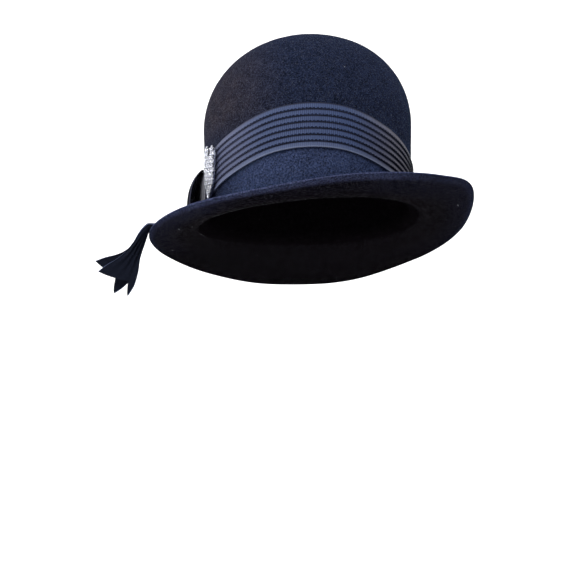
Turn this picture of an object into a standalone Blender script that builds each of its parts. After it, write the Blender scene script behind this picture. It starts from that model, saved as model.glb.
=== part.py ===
"""Felt cloche hat with a tucked ribbon band, a ribbon loop, two swallowtail ribbon ends and a brooch.

Metres, +Z up. The origin is the centre of the head opening, the front of the hat faces -Y and the
wearer's left is +X. Angles round the hat are in degrees, from the front towards the wearer's left.
"""

import math
from collections import namedtuple

import bmesh
import bpy
from mathutils import Matrix, Vector

# Felt crown
CROWN_WIDTH = 0.176
CROWN_DEPTH = 0.198
CROWN_HEIGHT = 0.1584
DOME_HEIGHT = 0.0815
DOME_FULLNESS = 2.07
CROWN_SWELL = 0.0018
CROWN_LEAN_LEFT = 0.0009
CROWN_LEAN_FORWARD = 0.0026
FELT_WALL = 0.0024

# Felt brim
BRIM_WIDTH = 0.2824
BRIM_LENGTH = 0.2824
BRIM_SHIFT_LEFT = 0.0040
BRIM_SHIFT_BACK = 0.0032
BRIM_DROP = 0.0446
BRIM_ROLL = 0.006
BRIM_TURN = 0.006
HEAD_LINE_RISE = 0.006

# Ribbon band
BAND_HEIGHT = 0.035
BAND_LIFT = 0.028
BAND_ROWS = 7
BAND_EDGE = 0.0009
BAND_TUCK = 0.0017

# Ribbon loop and ends
RIBBON_WIDTH = 0.032
RIBBON_WALL = 0.001
LOOP_ANGLE = -84.0
LOOP_FOOT = 0.004
LOOP_HEIGHT = 0.035
LOOP_BULGE = 0.0115
LOOP_FLARE = 0.002
TAIL_ANGLE = -91.0
TAIL_REACH = 0.037
TAIL_FALL = 0.0445
TAIL_RIPPLE = 0.0022
TAIL_NOTCH = 0.014
NOTCH_PLACE = 0.62
NOTCH_START = 0.75
GATHERS = 2
GATHER_THICKENING = 0.7

# Brooch
BROOCH_ANGLE = -76.5
BROOCH_MIDDLE = 0.0342
BROOCH_WIDTH = 0.021
BROOCH_HEIGHT = 0.0432
BROOCH_PLATE = 0.0014
STONE_RADIUS = 0.0018
STONE_CROWN = 0.0009
PIN_RADIUS = 0.00055
PIN_LENGTH = 0.028
PIN_SINK = 0.0002

# Clearance between pieces that rest on each other
SEAT_GAP = 0.0003
TAIL_SEAT = 0.0006

# How finely the shapes are cut
AROUND_STEPS = 60
DOME_STEPS = 8
WALL_STEPS = 3
TURN_STEPS = 3
BRIM_STEPS = 6
TAIL_STEPS = 22
TAIL_COLUMNS = 8
NEAR_STEP = 0.05
LOOP_COLUMNS = 4
LOOP_STEPS = 24
LOOP_NEAR = 0.25
SHARP_EDGE = 35.0
WELD = 1e-6

SHOULDER = CROWN_HEIGHT - DOME_HEIGHT
BAND_SEAT = SEAT_GAP
RIBBON_SEAT = BAND_SEAT + BAND_TUCK + SEAT_GAP
UP = Vector((0.0, 0.0, 1.0))

# Every 30 degrees: the crown's foot as a share of HEAD_LINE_RISE, the rim's height as a share of
# BRIM_DROP, and how far the brim dips between them as a share of BRIM_ROLL.
BrimSection = namedtuple("BrimSection", "angle foot rim roll")
BRIM_SECTIONS = [
    BrimSection(0, 0.78, 0.30, 0.75),
    BrimSection(30, 1.00, 0.40, 0.95),
    BrimSection(60, 0.60, 0.425, 0.95),
    BrimSection(90, -0.10, -0.130, 0.65),
    BrimSection(120, -0.50, -0.57, 0.10),
    BrimSection(150, -0.67, -0.93, -0.35),
    BrimSection(180, -0.67, -1.00, -0.45),
    BrimSection(210, -0.67, -0.80, -0.30),
    BrimSection(240, -0.60, -0.51, 0.10),
    BrimSection(270, -0.35, -0.256, 0.50),
    BrimSection(300, 0.10, -0.07, 0.70),
    BrimSection(330, 0.45, 0.105, 0.70),
]

# Every 30 degrees: how far the band's lower edge lies above the turn of the brim as a share of
# BAND_LIFT, and the band's own height as a share of BAND_HEIGHT, less where its tucks close up.
BandSection = namedtuple("BandSection", "angle lower height")
BAND_SECTIONS = [
    BandSection(0, 1.00, 1.00),
    BandSection(30, 0.50, 1.00),
    BandSection(60, 0.06, 0.96),
    BandSection(90, 0.03, 0.86),
    BandSection(120, 0.02, 0.86),
    BandSection(150, 0.03, 0.92),
    BandSection(180, 0.03, 0.95),
    BandSection(210, 0.02, 0.92),
    BandSection(240, 0.04, 0.92),
    BandSection(270, 0.19, 1.00),
    BandSection(300, 0.66, 1.00),
    BandSection(330, 1.06, 1.00),
]

# Round the loop from its top: how far it stands off as a share of LOOP_BULGE, and its height above
# the foot as a share of LOOP_HEIGHT.
LoopPoint = namedtuple("LoopPoint", "out height")
LOOP_POINTS = [
    LoopPoint(0.00, 0.95),
    LoopPoint(0.16, 1.00),
    LoopPoint(0.42, 0.91),
    LoopPoint(0.68, 0.75),
    LoopPoint(0.88, 0.55),
    LoopPoint(0.98, 0.34),
    LoopPoint(1.00, 0.17),
    LoopPoint(0.88, 0.05),
    LoopPoint(0.64, 0.00),
    LoopPoint(0.36, 0.03),
    LoopPoint(0.17, 0.13),
    LoopPoint(0.14, 0.32),
    LoopPoint(0.18, 0.52),
    LoopPoint(0.16, 0.72),
    LoopPoint(0.05, 0.86),
]

# Along each ribbon end: its place across the brim, then beyond the rim as shares of TAIL_REACH and
# TAIL_FALL, sideways as a share of RIBBON_WIDTH, the turn of its face in degrees, its visible width as
# a share of RIBBON_WIDTH, and its gathers as a share of TAIL_RIPPLE.
TailSection = namedtuple("TailSection", "brim reach fall aside turn spread ripple")
FRONT_TAIL = [
    TailSection(0.16, 0.00, 0.00, -0.28, 0, 0.32, 0.55),
    TailSection(0.45, 0.00, 0.00, -0.23, 0, 0.31, 0.60),
    TailSection(0.78, 0.00, 0.00, -0.18, 0, 0.28, 0.65),
    TailSection(1.00, 0.00, 0.00, -0.17, 0, 0.26, 0.70),
    TailSection(1.00, 0.08, 0.03, -0.17, 10, 0.26, 0.75),
    TailSection(1.00, 0.17, 0.16, -0.17, 40, 0.27, 0.75),
    TailSection(1.00, 0.27, 0.35, -0.18, 65, 0.31, 0.70),
    TailSection(1.00, 0.41, 0.57, -0.19, 78, 0.45, 0.55),
    TailSection(1.00, 0.54, 0.76, -0.20, 83, 0.68, 0.40),
    TailSection(1.00, 0.69, 0.93, -0.22, 86, 0.90, 0.25),
    TailSection(1.00, 0.86, 1.09, -0.23, 87, 1.00, 0.15),
]
REAR_TAIL = [
    TailSection(0.16, 0.00, 0.00, 0.28, 0, 0.32, 0.55),
    TailSection(0.45, 0.00, 0.00, 0.23, 0, 0.31, 0.60),
    TailSection(0.78, 0.00, 0.00, 0.18, 0, 0.28, 0.65),
    TailSection(1.00, 0.00, 0.00, 0.17, 0, 0.26, 0.70),
    TailSection(1.00, 0.08, 0.03, 0.17, 10, 0.26, 0.75),
    TailSection(1.00, 0.16, 0.14, 0.17, 38, 0.27, 0.75),
    TailSection(1.00, 0.25, 0.31, 0.16, 60, 0.31, 0.70),
    TailSection(1.00, 0.39, 0.49, 0.15, 74, 0.46, 0.55),
    TailSection(1.00, 0.57, 0.66, 0.13, 80, 0.70, 0.40),
    TailSection(1.00, 0.79, 0.80, 0.11, 84, 0.92, 0.25),
    TailSection(1.00, 1.03, 0.91, 0.09, 86, 1.00, 0.15),
]

# Half the brooch's outline from its tip to the notch between its two lobes: shares of half its width
# and of its height.
OutlinePoint = namedtuple("OutlinePoint", "across up")
BROOCH_OUTLINE = [
    OutlinePoint(0.14, 0.00),
    OutlinePoint(0.30, 0.05),
    OutlinePoint(0.42, 0.16),
    OutlinePoint(0.60, 0.22),
    OutlinePoint(0.78, 0.34),
    OutlinePoint(0.93, 0.50),
    OutlinePoint(1.00, 0.66),
    OutlinePoint(1.00, 0.84),
    OutlinePoint(0.90, 0.94),
    OutlinePoint(0.70, 1.00),
    OutlinePoint(0.40, 1.00),
    OutlinePoint(0.18, 0.93),
    OutlinePoint(0.05, 0.80),
]

# The brooch's stones from the tip upwards: height as a share of its height, the places across as
# shares of half its width, and the stones' radius as a share of STONE_RADIUS.
StoneRow = namedtuple("StoneRow", "up across radius")
STONE_ROWS = [
    StoneRow(0.050, (0.0,), 0.80),
    StoneRow(0.130, (0.0,), 0.95),
    StoneRow(0.215, (-0.28, 0.28), 0.95),
    StoneRow(0.300, (-0.46, 0.0, 0.46), 0.88),
    StoneRow(0.385, (-0.56, 0.0, 0.56), 0.98),
    StoneRow(0.470, (-0.68, -0.24, 0.24, 0.68), 0.92),
    StoneRow(0.555, (-0.73, -0.25, 0.25, 0.73), 0.98),
    StoneRow(0.640, (-0.76, -0.26, 0.26, 0.76), 1.00),
    StoneRow(0.725, (-0.76, -0.26, 0.26, 0.76), 1.00),
    StoneRow(0.812, (-0.77, -0.32, 0.32, 0.77), 0.96),
    StoneRow(0.905, (-0.68, -0.30, 0.30, 0.68), 0.84),
]
STONE_SIDES = 8
TABLE_SHARE = 0.55


def clear_scene():
    for item in list(bpy.data.objects):
        bpy.data.objects.remove(item)


def new_collection(name):
    group = bpy.data.collections.new(name)
    bpy.context.scene.collection.children.link(group)
    return group


def surface(name, colour, roughness, metallic=0.0):
    material = bpy.data.materials.new(name)
    material.use_nodes = True
    shader = material.node_tree.nodes["Principled BSDF"]
    shader.inputs["Base Color"].default_value = (*colour, 1.0)
    shader.inputs["Roughness"].default_value = roughness
    shader.inputs["Metallic"].default_value = metallic
    return material


def eased(before, start, end, after, share):
    """A smooth value between start and end, led by the values on either side of them."""
    return 0.5 * (
        2 * start
        + (end - before) * share
        + (2 * before - 5 * start + 4 * end - after) * share**2
        + (3 * start - before - 3 * end + after) * share**3
    )


def row_between(rows, place, closed):
    """The table's row at a place counted in rows, every column eased; a closed table runs round."""
    last = len(rows) - 1
    index = math.floor(place) if closed else min(int(place), last - 1)
    share = place - index
    if closed:
        near = [rows[(index + step) % len(rows)] for step in (-1, 0, 1, 2)]
    else:
        near = [rows[min(max(index + step, 0), last)] for step in (-1, 0, 1, 2)]
    return type(rows[0])(*(eased(*values, share) for values in zip(*near)))


def row_around(rows, angle):
    spacing = 360.0 / len(rows)
    return row_between(rows, angle / spacing, closed=True)


def crown_share(height):
    """The crown's width at a height, as a share of its width at the head opening."""
    swell = 1.0 + CROWN_SWELL / (CROWN_WIDTH / 2) * height / SHOULDER
    if height <= SHOULDER:
        return swell
    rise = min((height - SHOULDER) / DOME_HEIGHT, 1.0)
    return swell * (1.0 - rise**DOME_FULLNESS) ** (1.0 / DOME_FULLNESS)


def on_crown(angle, height, out=0.0):
    """A point on the crown's outside, or a distance out from it."""
    turn = math.radians(angle)
    share = crown_share(height)
    lean = height / CROWN_HEIGHT
    point = Vector((
        CROWN_WIDTH / 2 * share * math.sin(turn) + CROWN_LEAN_LEFT * lean,
        -CROWN_DEPTH / 2 * share * math.cos(turn) - CROWN_LEAN_FORWARD * lean,
        height,
    ))
    return point + outward(angle) * out


def outward(angle):
    turn = math.radians(angle)
    return Vector((math.sin(turn) / CROWN_WIDTH, -math.cos(turn) / CROWN_DEPTH, 0.0)).normalized()


def foot_height(angle):
    return HEAD_LINE_RISE * row_around(BRIM_SECTIONS, angle).foot


def rim_point(angle):
    turn = math.radians(angle)
    return Vector((
        BRIM_WIDTH / 2 * math.sin(turn) + BRIM_SHIFT_LEFT,
        -BRIM_LENGTH / 2 * math.cos(turn) + BRIM_SHIFT_BACK,
        BRIM_DROP * row_around(BRIM_SECTIONS, angle).rim,
    ))


def on_brim(angle, share):
    """A point on the brim's top, at a share of the way from the crown's foot to the rim."""
    point = on_crown(angle, foot_height(angle)).lerp(rim_point(angle), share)
    dip = BRIM_ROLL * row_around(BRIM_SECTIONS, angle).roll
    return point - UP * dip * 4 * share * (1 - share)


def felt_column(angle):
    """The felt's outside from just below the crown's top down to the rim."""
    points = []
    for step in range(1, DOME_STEPS + 1):
        slope = math.pi / 2 * (1 - step / DOME_STEPS)
        rise = math.sin(slope) ** (2 / DOME_FULLNESS)
        points.append(on_crown(angle, SHOULDER + DOME_HEIGHT * rise))
    foot = foot_height(angle)
    wall_end = foot + BRIM_TURN
    for step in range(1, WALL_STEPS + 1):
        points.append(on_crown(angle, SHOULDER + (wall_end - SHOULDER) * step / WALL_STEPS))
    corner = on_crown(angle, foot)
    turn_share = BRIM_TURN / (rim_point(angle) - corner).length
    start, end = points[-1], on_brim(angle, turn_share)
    for step in range(1, TURN_STEPS + 1):
        share = step / TURN_STEPS
        points.append(start.lerp(corner, share).lerp(corner.lerp(end, share), share))
    for step in range(1, BRIM_STEPS + 1):
        points.append(on_brim(angle, turn_share + (1 - turn_share) * step / BRIM_STEPS))
    return points


def angles_around():
    return [360.0 * step / AROUND_STEPS for step in range(AROUND_STEPS)]


def mesh_object(name, points, faces, material, group):
    mesh = bpy.data.meshes.new(name)
    mesh.from_pydata(points, [], faces)
    mesh.materials.append(material)
    mesh.shade_smooth()
    piece = bpy.data.objects.new(name, mesh)
    group.objects.link(piece)
    return piece


def loft(name, rings, material, group, joined=False):
    """A closed skin over rings of points; the first ring meets the last, or both are capped."""
    size = len(rings[0])
    points = [point for ring in rings for point in ring]
    faces = []
    for row in range(len(rings) if joined else len(rings) - 1):
        below = (row + 1) % len(rings)
        for step in range(size):
            side = (step + 1) % size
            faces.append((row * size + step, row * size + side, below * size + side, below * size + step))
    if not joined:
        faces += strip_cap(0, size, flip=True)
        faces += strip_cap((len(rings) - 1) * size, size, flip=False)
    piece = mesh_object(name, points, faces, material, group)
    outward_faces(piece.data)
    piece.data.set_sharp_from_angle(angle=math.radians(SHARP_EDGE))
    return piece


def strip_cap(first, size, flip):
    """Faces that close a ring made of a top row and the bottom row under it."""
    faces = []
    for step in range(size // 2 - 1):
        face = (first + step, first + step + 1, first + size - 2 - step, first + size - 1 - step)
        faces.append(face[::-1] if flip else face)
    return faces


def outward_faces(mesh):
    work = bmesh.new()
    work.from_mesh(mesh)
    bmesh.ops.recalc_face_normals(work, faces=work.faces)
    work.to_mesh(mesh)
    work.free()


def build_felt_body(group):
    """Crown and brim in one open skin, given the felt's thickness on its inner side."""
    columns = [felt_column(angle) for angle in angles_around()]
    rows = len(columns[0])
    top = on_crown(0, CROWN_HEIGHT)
    points = [top] + [column[row] for row in range(rows) for column in columns]
    faces = []
    for step in range(AROUND_STEPS):
        side = (step + 1) % AROUND_STEPS
        faces.append((0, 1 + step, 1 + side))
        for row in range(rows - 1):
            upper, lower = 1 + row * AROUND_STEPS, 1 + (row + 1) * AROUND_STEPS
            faces.append((upper + step, lower + step, lower + side, upper + side))
    material = surface("wool_felt", (0.012, 0.014, 0.024), 0.95)
    piece = mesh_object("felt_body", points, faces, material, group)
    wall = piece.modifiers.new("felt wall", "SOLIDIFY")
    wall.thickness = FELT_WALL
    wall.offset = -1.0
    wall.use_even_offset = True


def band_ring(angle):
    """The band's cut at one angle: tucks that each stand out over the next, on a smooth back."""
    section = row_around(BAND_SECTIONS, angle)
    height = BAND_HEIGHT * section.height
    upper = foot_height(angle) + BRIM_TURN + SEAT_GAP + BAND_LIFT * section.lower + height
    ring = []
    for tuck in range(BAND_ROWS):
        for share, thickness in ((0.0, BAND_EDGE), (1.0, BAND_TUCK)):
            drop = height * (tuck + share) / BAND_ROWS
            ring.append(on_crown(angle, upper - drop, BAND_SEAT + thickness))
    ring.append(on_crown(angle, upper - height, BAND_SEAT))
    ring.append(on_crown(angle, upper - height / 2, BAND_SEAT))
    ring.append(on_crown(angle, upper, BAND_SEAT))
    return ring


def build_band(group):
    rings = [band_ring(angle) for angle in angles_around()]
    loft("tucked_band", rings, surface("band_ribbon", (0.045, 0.052, 0.085), 0.6), group, joined=True)


def build_loop(group):
    """A flat ribbon folded into a loop beside the brooch, its far edge flared."""
    width_angle = math.degrees(RIBBON_WIDTH / (CROWN_DEPTH / 2))
    rings = []
    for step in range(LOOP_STEPS):
        place = step * len(LOOP_POINTS) / LOOP_STEPS
        point = row_between(LOOP_POINTS, place, closed=True)
        near = row_between(LOOP_POINTS, place + LOOP_NEAR, closed=True)
        back = row_between(LOOP_POINTS, place - LOOP_NEAR, closed=True)
        along_out = (near.out - back.out) * LOOP_BULGE
        along_up = (near.height - back.height) * LOOP_HEIGHT
        size = math.hypot(along_out, along_up)
        skin_out, skin_up = along_up / size, -along_out / size
        faces = []
        for side in (-0.5, 0.5):
            row = []
            for column in range(LOOP_COLUMNS):
                share = column / (LOOP_COLUMNS - 1)
                angle = LOOP_ANGLE - width_angle * share
                bulge = LOOP_BULGE + LOOP_FLARE * share
                out = RIBBON_SEAT + RIBBON_WALL / 2 + bulge * point.out
                height = LOOP_FOOT + LOOP_HEIGHT * point.height
                shift = side * RIBBON_WALL
                row.append(on_crown(angle, height + skin_up * shift, out + skin_out * shift))
            faces.append(row)
        rings.append(faces[0] + faces[1][::-1])
    loft("ribbon_loop", rings, surface("loop_ribbon", (0.02, 0.02, 0.03), 0.6), group, joined=True)


def tail_angle(section):
    """The direction in which a ribbon end crosses the rim."""
    return TAIL_ANGLE - math.degrees(section.aside * RIBBON_WIDTH / (BRIM_WIDTH / 2))


def ribbon_thickness(section):
    return RIBBON_WALL * (1 + GATHER_THICKENING * section.ripple)


def tail_centre(section):
    """The middle of a ribbon end: resting on the brim to the rim, then out and down from it."""
    angle = tail_angle(section)
    seat = TAIL_SEAT + ribbon_thickness(section) / 2 + TAIL_RIPPLE * section.ripple
    point = on_brim(angle, section.brim) + UP * seat
    return point + outward(angle) * TAIL_REACH * section.reach - UP * TAIL_FALL * section.fall


def brim_side(section):
    """The direction sideways along the brim, towards the back, at a ribbon end."""
    angle = tail_angle(section)
    return (on_brim(angle - 1, section.brim) - on_brim(angle + 1, section.brim)).normalized()


def tail_length(rows):
    centres = [tail_centre(row) for row in rows]
    return sum((after - before).length for before, after in zip(centres, centres[1:]))


def tail_point(rows, along, across, face):
    """A point of a ribbon end: along and across it from 0 to 1, and on its face (1) or back (-1)."""
    beside = across / NOTCH_PLACE if across < NOTCH_PLACE else (1 - across) / (1 - NOTCH_PLACE)
    notch = TAIL_NOTCH / tail_length(rows)
    pulled = along - notch * beside * max(0.0, (along - NOTCH_START) / (1 - NOTCH_START))
    place = pulled * (len(rows) - 1)
    last = len(rows) - 1
    section = row_between(rows, place, closed=False)
    ahead = tail_centre(row_between(rows, min(place + NEAR_STEP, last), closed=False))
    behind = tail_centre(row_between(rows, max(place - NEAR_STEP, 0.0), closed=False))
    along_axis = (ahead - behind).normalized()
    side = brim_side(section)
    side = (side - along_axis * side.dot(along_axis)).normalized()
    width_axis = Matrix.Rotation(math.radians(section.turn), 3, along_axis) @ side
    depth_axis = width_axis.cross(along_axis)
    gather = math.cos(2 * GATHERS * math.pi * across)
    offset = TAIL_RIPPLE * section.ripple * gather + face * ribbon_thickness(section) / 2
    sideways = RIBBON_WIDTH * section.spread * (across - 0.5)
    return tail_centre(section) + width_axis * sideways + depth_axis * offset


def build_tails(group):
    """The two ribbon ends: gathered over the rim, then opening out to their notched ends."""
    for name, rows in (("ribbon_tail_front", FRONT_TAIL), ("ribbon_tail_rear", REAR_TAIL)):
        rings = []
        for step in range(TAIL_STEPS + 1):
            along = step / TAIL_STEPS
            shares = [column / TAIL_COLUMNS for column in range(TAIL_COLUMNS + 1)]
            upper = [tail_point(rows, along, share, 1) for share in shares]
            lower = [tail_point(rows, along, share, -1) for share in reversed(shares)]
            rings.append(upper + lower)
        loft(name, rings, surface(f"{name}_ribbon", (0.012, 0.013, 0.022), 0.6), group)


def brooch_place():
    """Where the brooch's back is and how it stands: across, up and out from the crown."""
    upright = on_crown(BROOCH_ANGLE, SHOULDER) - on_crown(BROOCH_ANGLE, 0.0)
    up = upright.normalized()
    across = up.cross(outward(BROOCH_ANGLE)).normalized()
    out = across.cross(up)
    stand_off = RIBBON_SEAT + 2 * PIN_RADIUS - PIN_SINK
    place = Matrix.Translation(on_crown(BROOCH_ANGLE, BROOCH_MIDDLE) + out * stand_off)
    turn = Matrix((across, up, out)).transposed().to_4x4()
    return place @ turn


def cone(work, radius_low, radius_high, sides, matrix, depth):
    bmesh.ops.create_cone(
        work, cap_ends=True, segments=sides, radius1=radius_low, radius2=radius_high,
        depth=depth, matrix=matrix,
    )


def build_brooch(group, cutters):
    """A flat setting with two lobes and a tapered foot, its cut stones and a plain pin behind it."""
    half = [(point.across * BROOCH_WIDTH / 2, (point.up - 0.5) * BROOCH_HEIGHT) for point in BROOCH_OUTLINE]
    outline = half + [(-x, y) for x, y in reversed(half)]
    curve = bpy.data.curves.new("brooch_outline", "CURVE")
    curve.dimensions = "2D"
    curve.fill_mode = "BOTH"
    curve.extrude = BROOCH_PLATE / 2
    spline = curve.splines.new("POLY")
    spline.points.add(len(outline) - 1)
    for point, (x, y) in zip(spline.points, outline):
        point.co = (x, y, 0.0, 1.0)
    spline.use_cyclic_u = True
    drawn = bpy.data.objects.new("brooch_outline", curve)
    group.objects.link(drawn)
    drawn.matrix_world = brooch_place() @ Matrix.Translation((0.0, 0.0, BROOCH_PLATE / 2))
    bpy.context.view_layer.update()
    mesh = bpy.data.meshes.new_from_object(drawn.evaluated_get(bpy.context.evaluated_depsgraph_get()))
    work = bmesh.new()
    work.from_mesh(mesh)
    bmesh.ops.remove_doubles(work, verts=work.verts, dist=WELD)
    bmesh.ops.recalc_face_normals(work, faces=work.faces)
    work.to_mesh(mesh)
    work.free()
    mesh.name = "brooch"
    mesh.materials.clear()
    mesh.materials.append(surface("brooch_metal", (0.85, 0.86, 0.88), 0.2, 1.0))
    brooch = bpy.data.objects.new("brooch", mesh)
    brooch.matrix_world = drawn.matrix_world
    bpy.data.objects.remove(drawn)
    group.objects.link(brooch)

    stones = bmesh.new()
    for row in STONE_ROWS:
        radius = STONE_RADIUS * row.radius
        for across in row.across:
            spot = Vector((across * BROOCH_WIDTH / 2, (row.up - 0.5) * BROOCH_HEIGHT, BROOCH_PLATE / 2))
            turn = Matrix.Rotation(math.pi / STONE_SIDES, 4, "Z")
            cone(stones, radius, radius * TABLE_SHARE, STONE_SIDES, Matrix.Translation(spot) @ turn,
                 2 * STONE_CROWN)
    pin = Matrix.Translation((0.0, 0.0, -BROOCH_PLATE / 2 - PIN_RADIUS + PIN_SINK))
    cone(stones, PIN_RADIUS, PIN_RADIUS, STONE_SIDES, pin @ Matrix.Rotation(math.pi / 2, 4, "X"),
         PIN_LENGTH)
    added = bpy.data.meshes.new("brooch_stones_and_pin")
    stones.to_mesh(added)
    stones.free()
    helper = bpy.data.objects.new("brooch_stones_and_pin", added)
    helper.matrix_world = brooch.matrix_world
    helper.hide_render = True
    helper.display_type = "WIRE"
    cutters.objects.link(helper)
    fused = brooch.modifiers.new("stones and pin", "BOOLEAN")
    fused.operation = "UNION"
    fused.object = helper


def main():
    clear_scene()
    hat = new_collection("cloche_hat")
    cutters = new_collection("cutters")
    build_felt_body(hat)
    build_band(hat)
    build_loop(hat)
    build_tails(hat)
    build_brooch(hat, cutters)


main()
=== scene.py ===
"""Dresses the solid model of a felt cloche hat: napped wool felt, a tucked and stitched ribbon band, a
ribbon loop, two gathered ribbon ends and a jewelled brooch, in a pale studio.

Metres, +Z up. The front of the hat faces -Y and the wearer's left is +X. Angles round the hat are in
degrees, from the front towards the wearer's left.
"""

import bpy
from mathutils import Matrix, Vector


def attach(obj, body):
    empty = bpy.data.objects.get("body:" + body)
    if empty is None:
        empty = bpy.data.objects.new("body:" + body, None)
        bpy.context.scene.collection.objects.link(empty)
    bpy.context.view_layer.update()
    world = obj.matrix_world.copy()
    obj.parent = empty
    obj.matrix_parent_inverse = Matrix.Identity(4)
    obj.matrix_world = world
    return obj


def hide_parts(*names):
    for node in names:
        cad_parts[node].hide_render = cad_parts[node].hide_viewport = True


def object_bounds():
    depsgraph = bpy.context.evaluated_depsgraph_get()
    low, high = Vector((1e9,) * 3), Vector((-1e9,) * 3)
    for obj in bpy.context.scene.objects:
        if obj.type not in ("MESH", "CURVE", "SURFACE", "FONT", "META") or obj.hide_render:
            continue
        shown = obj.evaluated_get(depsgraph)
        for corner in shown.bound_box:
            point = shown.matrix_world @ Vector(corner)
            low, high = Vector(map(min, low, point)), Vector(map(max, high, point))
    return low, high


bl_info = {
    "name": "Cloche Hat Dressing",
    "version": (1, 0, 0),
    "blender": (4, 5, 0),
    "location": "3D View > Sidebar > Cloche Hat",
    "description": "Builds the felt, ribbons, brooch and studio of a cloche hat",
    "category": "Object",
}

import math
from collections import namedtuple

import bmesh
import bpy
import numpy as np
from bpy.props import FloatProperty, FloatVectorProperty, IntProperty, PointerProperty
from mathutils import Euler, Matrix, Vector, noise

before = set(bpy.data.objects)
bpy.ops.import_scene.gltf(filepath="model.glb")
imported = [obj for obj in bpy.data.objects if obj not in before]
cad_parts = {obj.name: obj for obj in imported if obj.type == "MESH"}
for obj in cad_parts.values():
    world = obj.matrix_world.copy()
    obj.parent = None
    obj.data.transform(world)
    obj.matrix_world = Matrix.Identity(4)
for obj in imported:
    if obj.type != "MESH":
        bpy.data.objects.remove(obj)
CAD_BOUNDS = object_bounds()
UP = Vector((0.0, 0.0, 1.0))

# Every 30 degrees: the crown's foot, the rim's height and the brim's dip, as shares of their sizes.
BrimSection = namedtuple("BrimSection", "angle foot rim roll")
BRIM_SECTIONS = [
    BrimSection(0, 0.78, 0.30, 0.75),
    BrimSection(30, 1.00, 0.40, 0.95),
    BrimSection(60, 0.60, 0.425, 0.95),
    BrimSection(90, -0.10, -0.130, 0.65),
    BrimSection(120, -0.50, -0.57, 0.10),
    BrimSection(150, -0.67, -0.93, -0.35),
    BrimSection(180, -0.67, -1.00, -0.45),
    BrimSection(210, -0.67, -0.80, -0.30),
    BrimSection(240, -0.60, -0.51, 0.10),
    BrimSection(270, -0.35, -0.256, 0.50),
    BrimSection(300, 0.10, -0.07, 0.70),
    BrimSection(330, 0.45, 0.105, 0.70),
]

# Every 30 degrees: the band's lower edge above the brim's turn, and its height, as shares.
BandSection = namedtuple("BandSection", "angle lower height")
BAND_SECTIONS = [
    BandSection(0, 1.03, 1.00),
    BandSection(30, 0.50, 1.00),
    BandSection(60, 0.06, 0.96),
    BandSection(90, 0.03, 0.86),
    BandSection(120, 0.02, 0.86),
    BandSection(150, 0.03, 0.92),
    BandSection(180, 0.03, 0.95),
    BandSection(210, 0.02, 0.92),
    BandSection(240, 0.04, 0.92),
    BandSection(270, 0.19, 1.00),
    BandSection(300, 0.66, 1.00),
    BandSection(330, 1.09, 1.00),
]

# Down one tuck: the share of its height, and its thickness between the thin edge and the full lip.
TuckPoint = namedtuple("TuckPoint", "drop lip")
TUCK_PROFILE = [
    TuckPoint(0.02, 0.00),
    TuckPoint(0.12, 0.12),
    TuckPoint(0.35, 0.36),
    TuckPoint(0.62, 0.62),
    TuckPoint(0.82, 0.90),
    TuckPoint(0.93, 1.00),
    TuckPoint(1.00, 0.92),
    TuckPoint(1.03, 0.62),
    TuckPoint(1.01, 0.25),
]

# Round the loop from its top: how far it stands off, its height, and how much further its back edge
# stands off, as shares.
LoopPoint = namedtuple("LoopPoint", "out height lift")
LOOP_POINTS = [
    LoopPoint(0.00, 0.95, 0.00),
    LoopPoint(0.16, 1.00, 0.00),
    LoopPoint(0.42, 0.91, 0.00),
    LoopPoint(0.68, 0.75, 0.00),
    LoopPoint(0.88, 0.55, 0.00),
    LoopPoint(0.98, 0.34, 0.00),
    LoopPoint(1.00, 0.17, 0.00),
    LoopPoint(0.88, 0.05, 0.00),
    LoopPoint(0.64, 0.00, 0.00),
    LoopPoint(0.34, 0.02, 0.00),
    LoopPoint(0.11, 0.09, 0.06),
    LoopPoint(0.04, 0.30, 0.17),
    LoopPoint(0.05, 0.52, 0.18),
    LoopPoint(0.05, 0.72, 0.15),
    LoopPoint(0.02, 0.86, 0.05),
]

# Along each ribbon end: its place across the brim, its reach and fall beyond the rim, its place to the
# side, the turn of its face in degrees, its visible width and its soft waves, as shares.
TailSection = namedtuple("TailSection", "brim reach fall aside turn spread ripple")
FRONT_TAIL = [
    TailSection(0.16, 0.00, 0.00, -0.28, 0, 0.32, 0.55),
    TailSection(0.45, 0.00, 0.00, -0.23, 0, 0.31, 0.60),
    TailSection(0.78, 0.00, 0.00, -0.18, 0, 0.28, 0.65),
    TailSection(1.00, 0.00, 0.00, -0.17, 0, 0.26, 0.70),
    TailSection(1.00, 0.08, 0.03, -0.17, 10, 0.26, 0.75),
    TailSection(1.00, 0.17, 0.16, -0.17, 40, 0.27, 0.75),
    TailSection(1.00, 0.27, 0.35, -0.18, 65, 0.31, 0.70),
    TailSection(1.00, 0.41, 0.57, -0.19, 78, 0.45, 0.55),
    TailSection(1.00, 0.54, 0.76, -0.20, 83, 0.68, 0.40),
    TailSection(1.00, 0.69, 0.93, -0.22, 86, 0.90, 0.25),
    TailSection(1.00, 0.86, 1.09, -0.23, 87, 1.00, 0.15),
]
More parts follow.
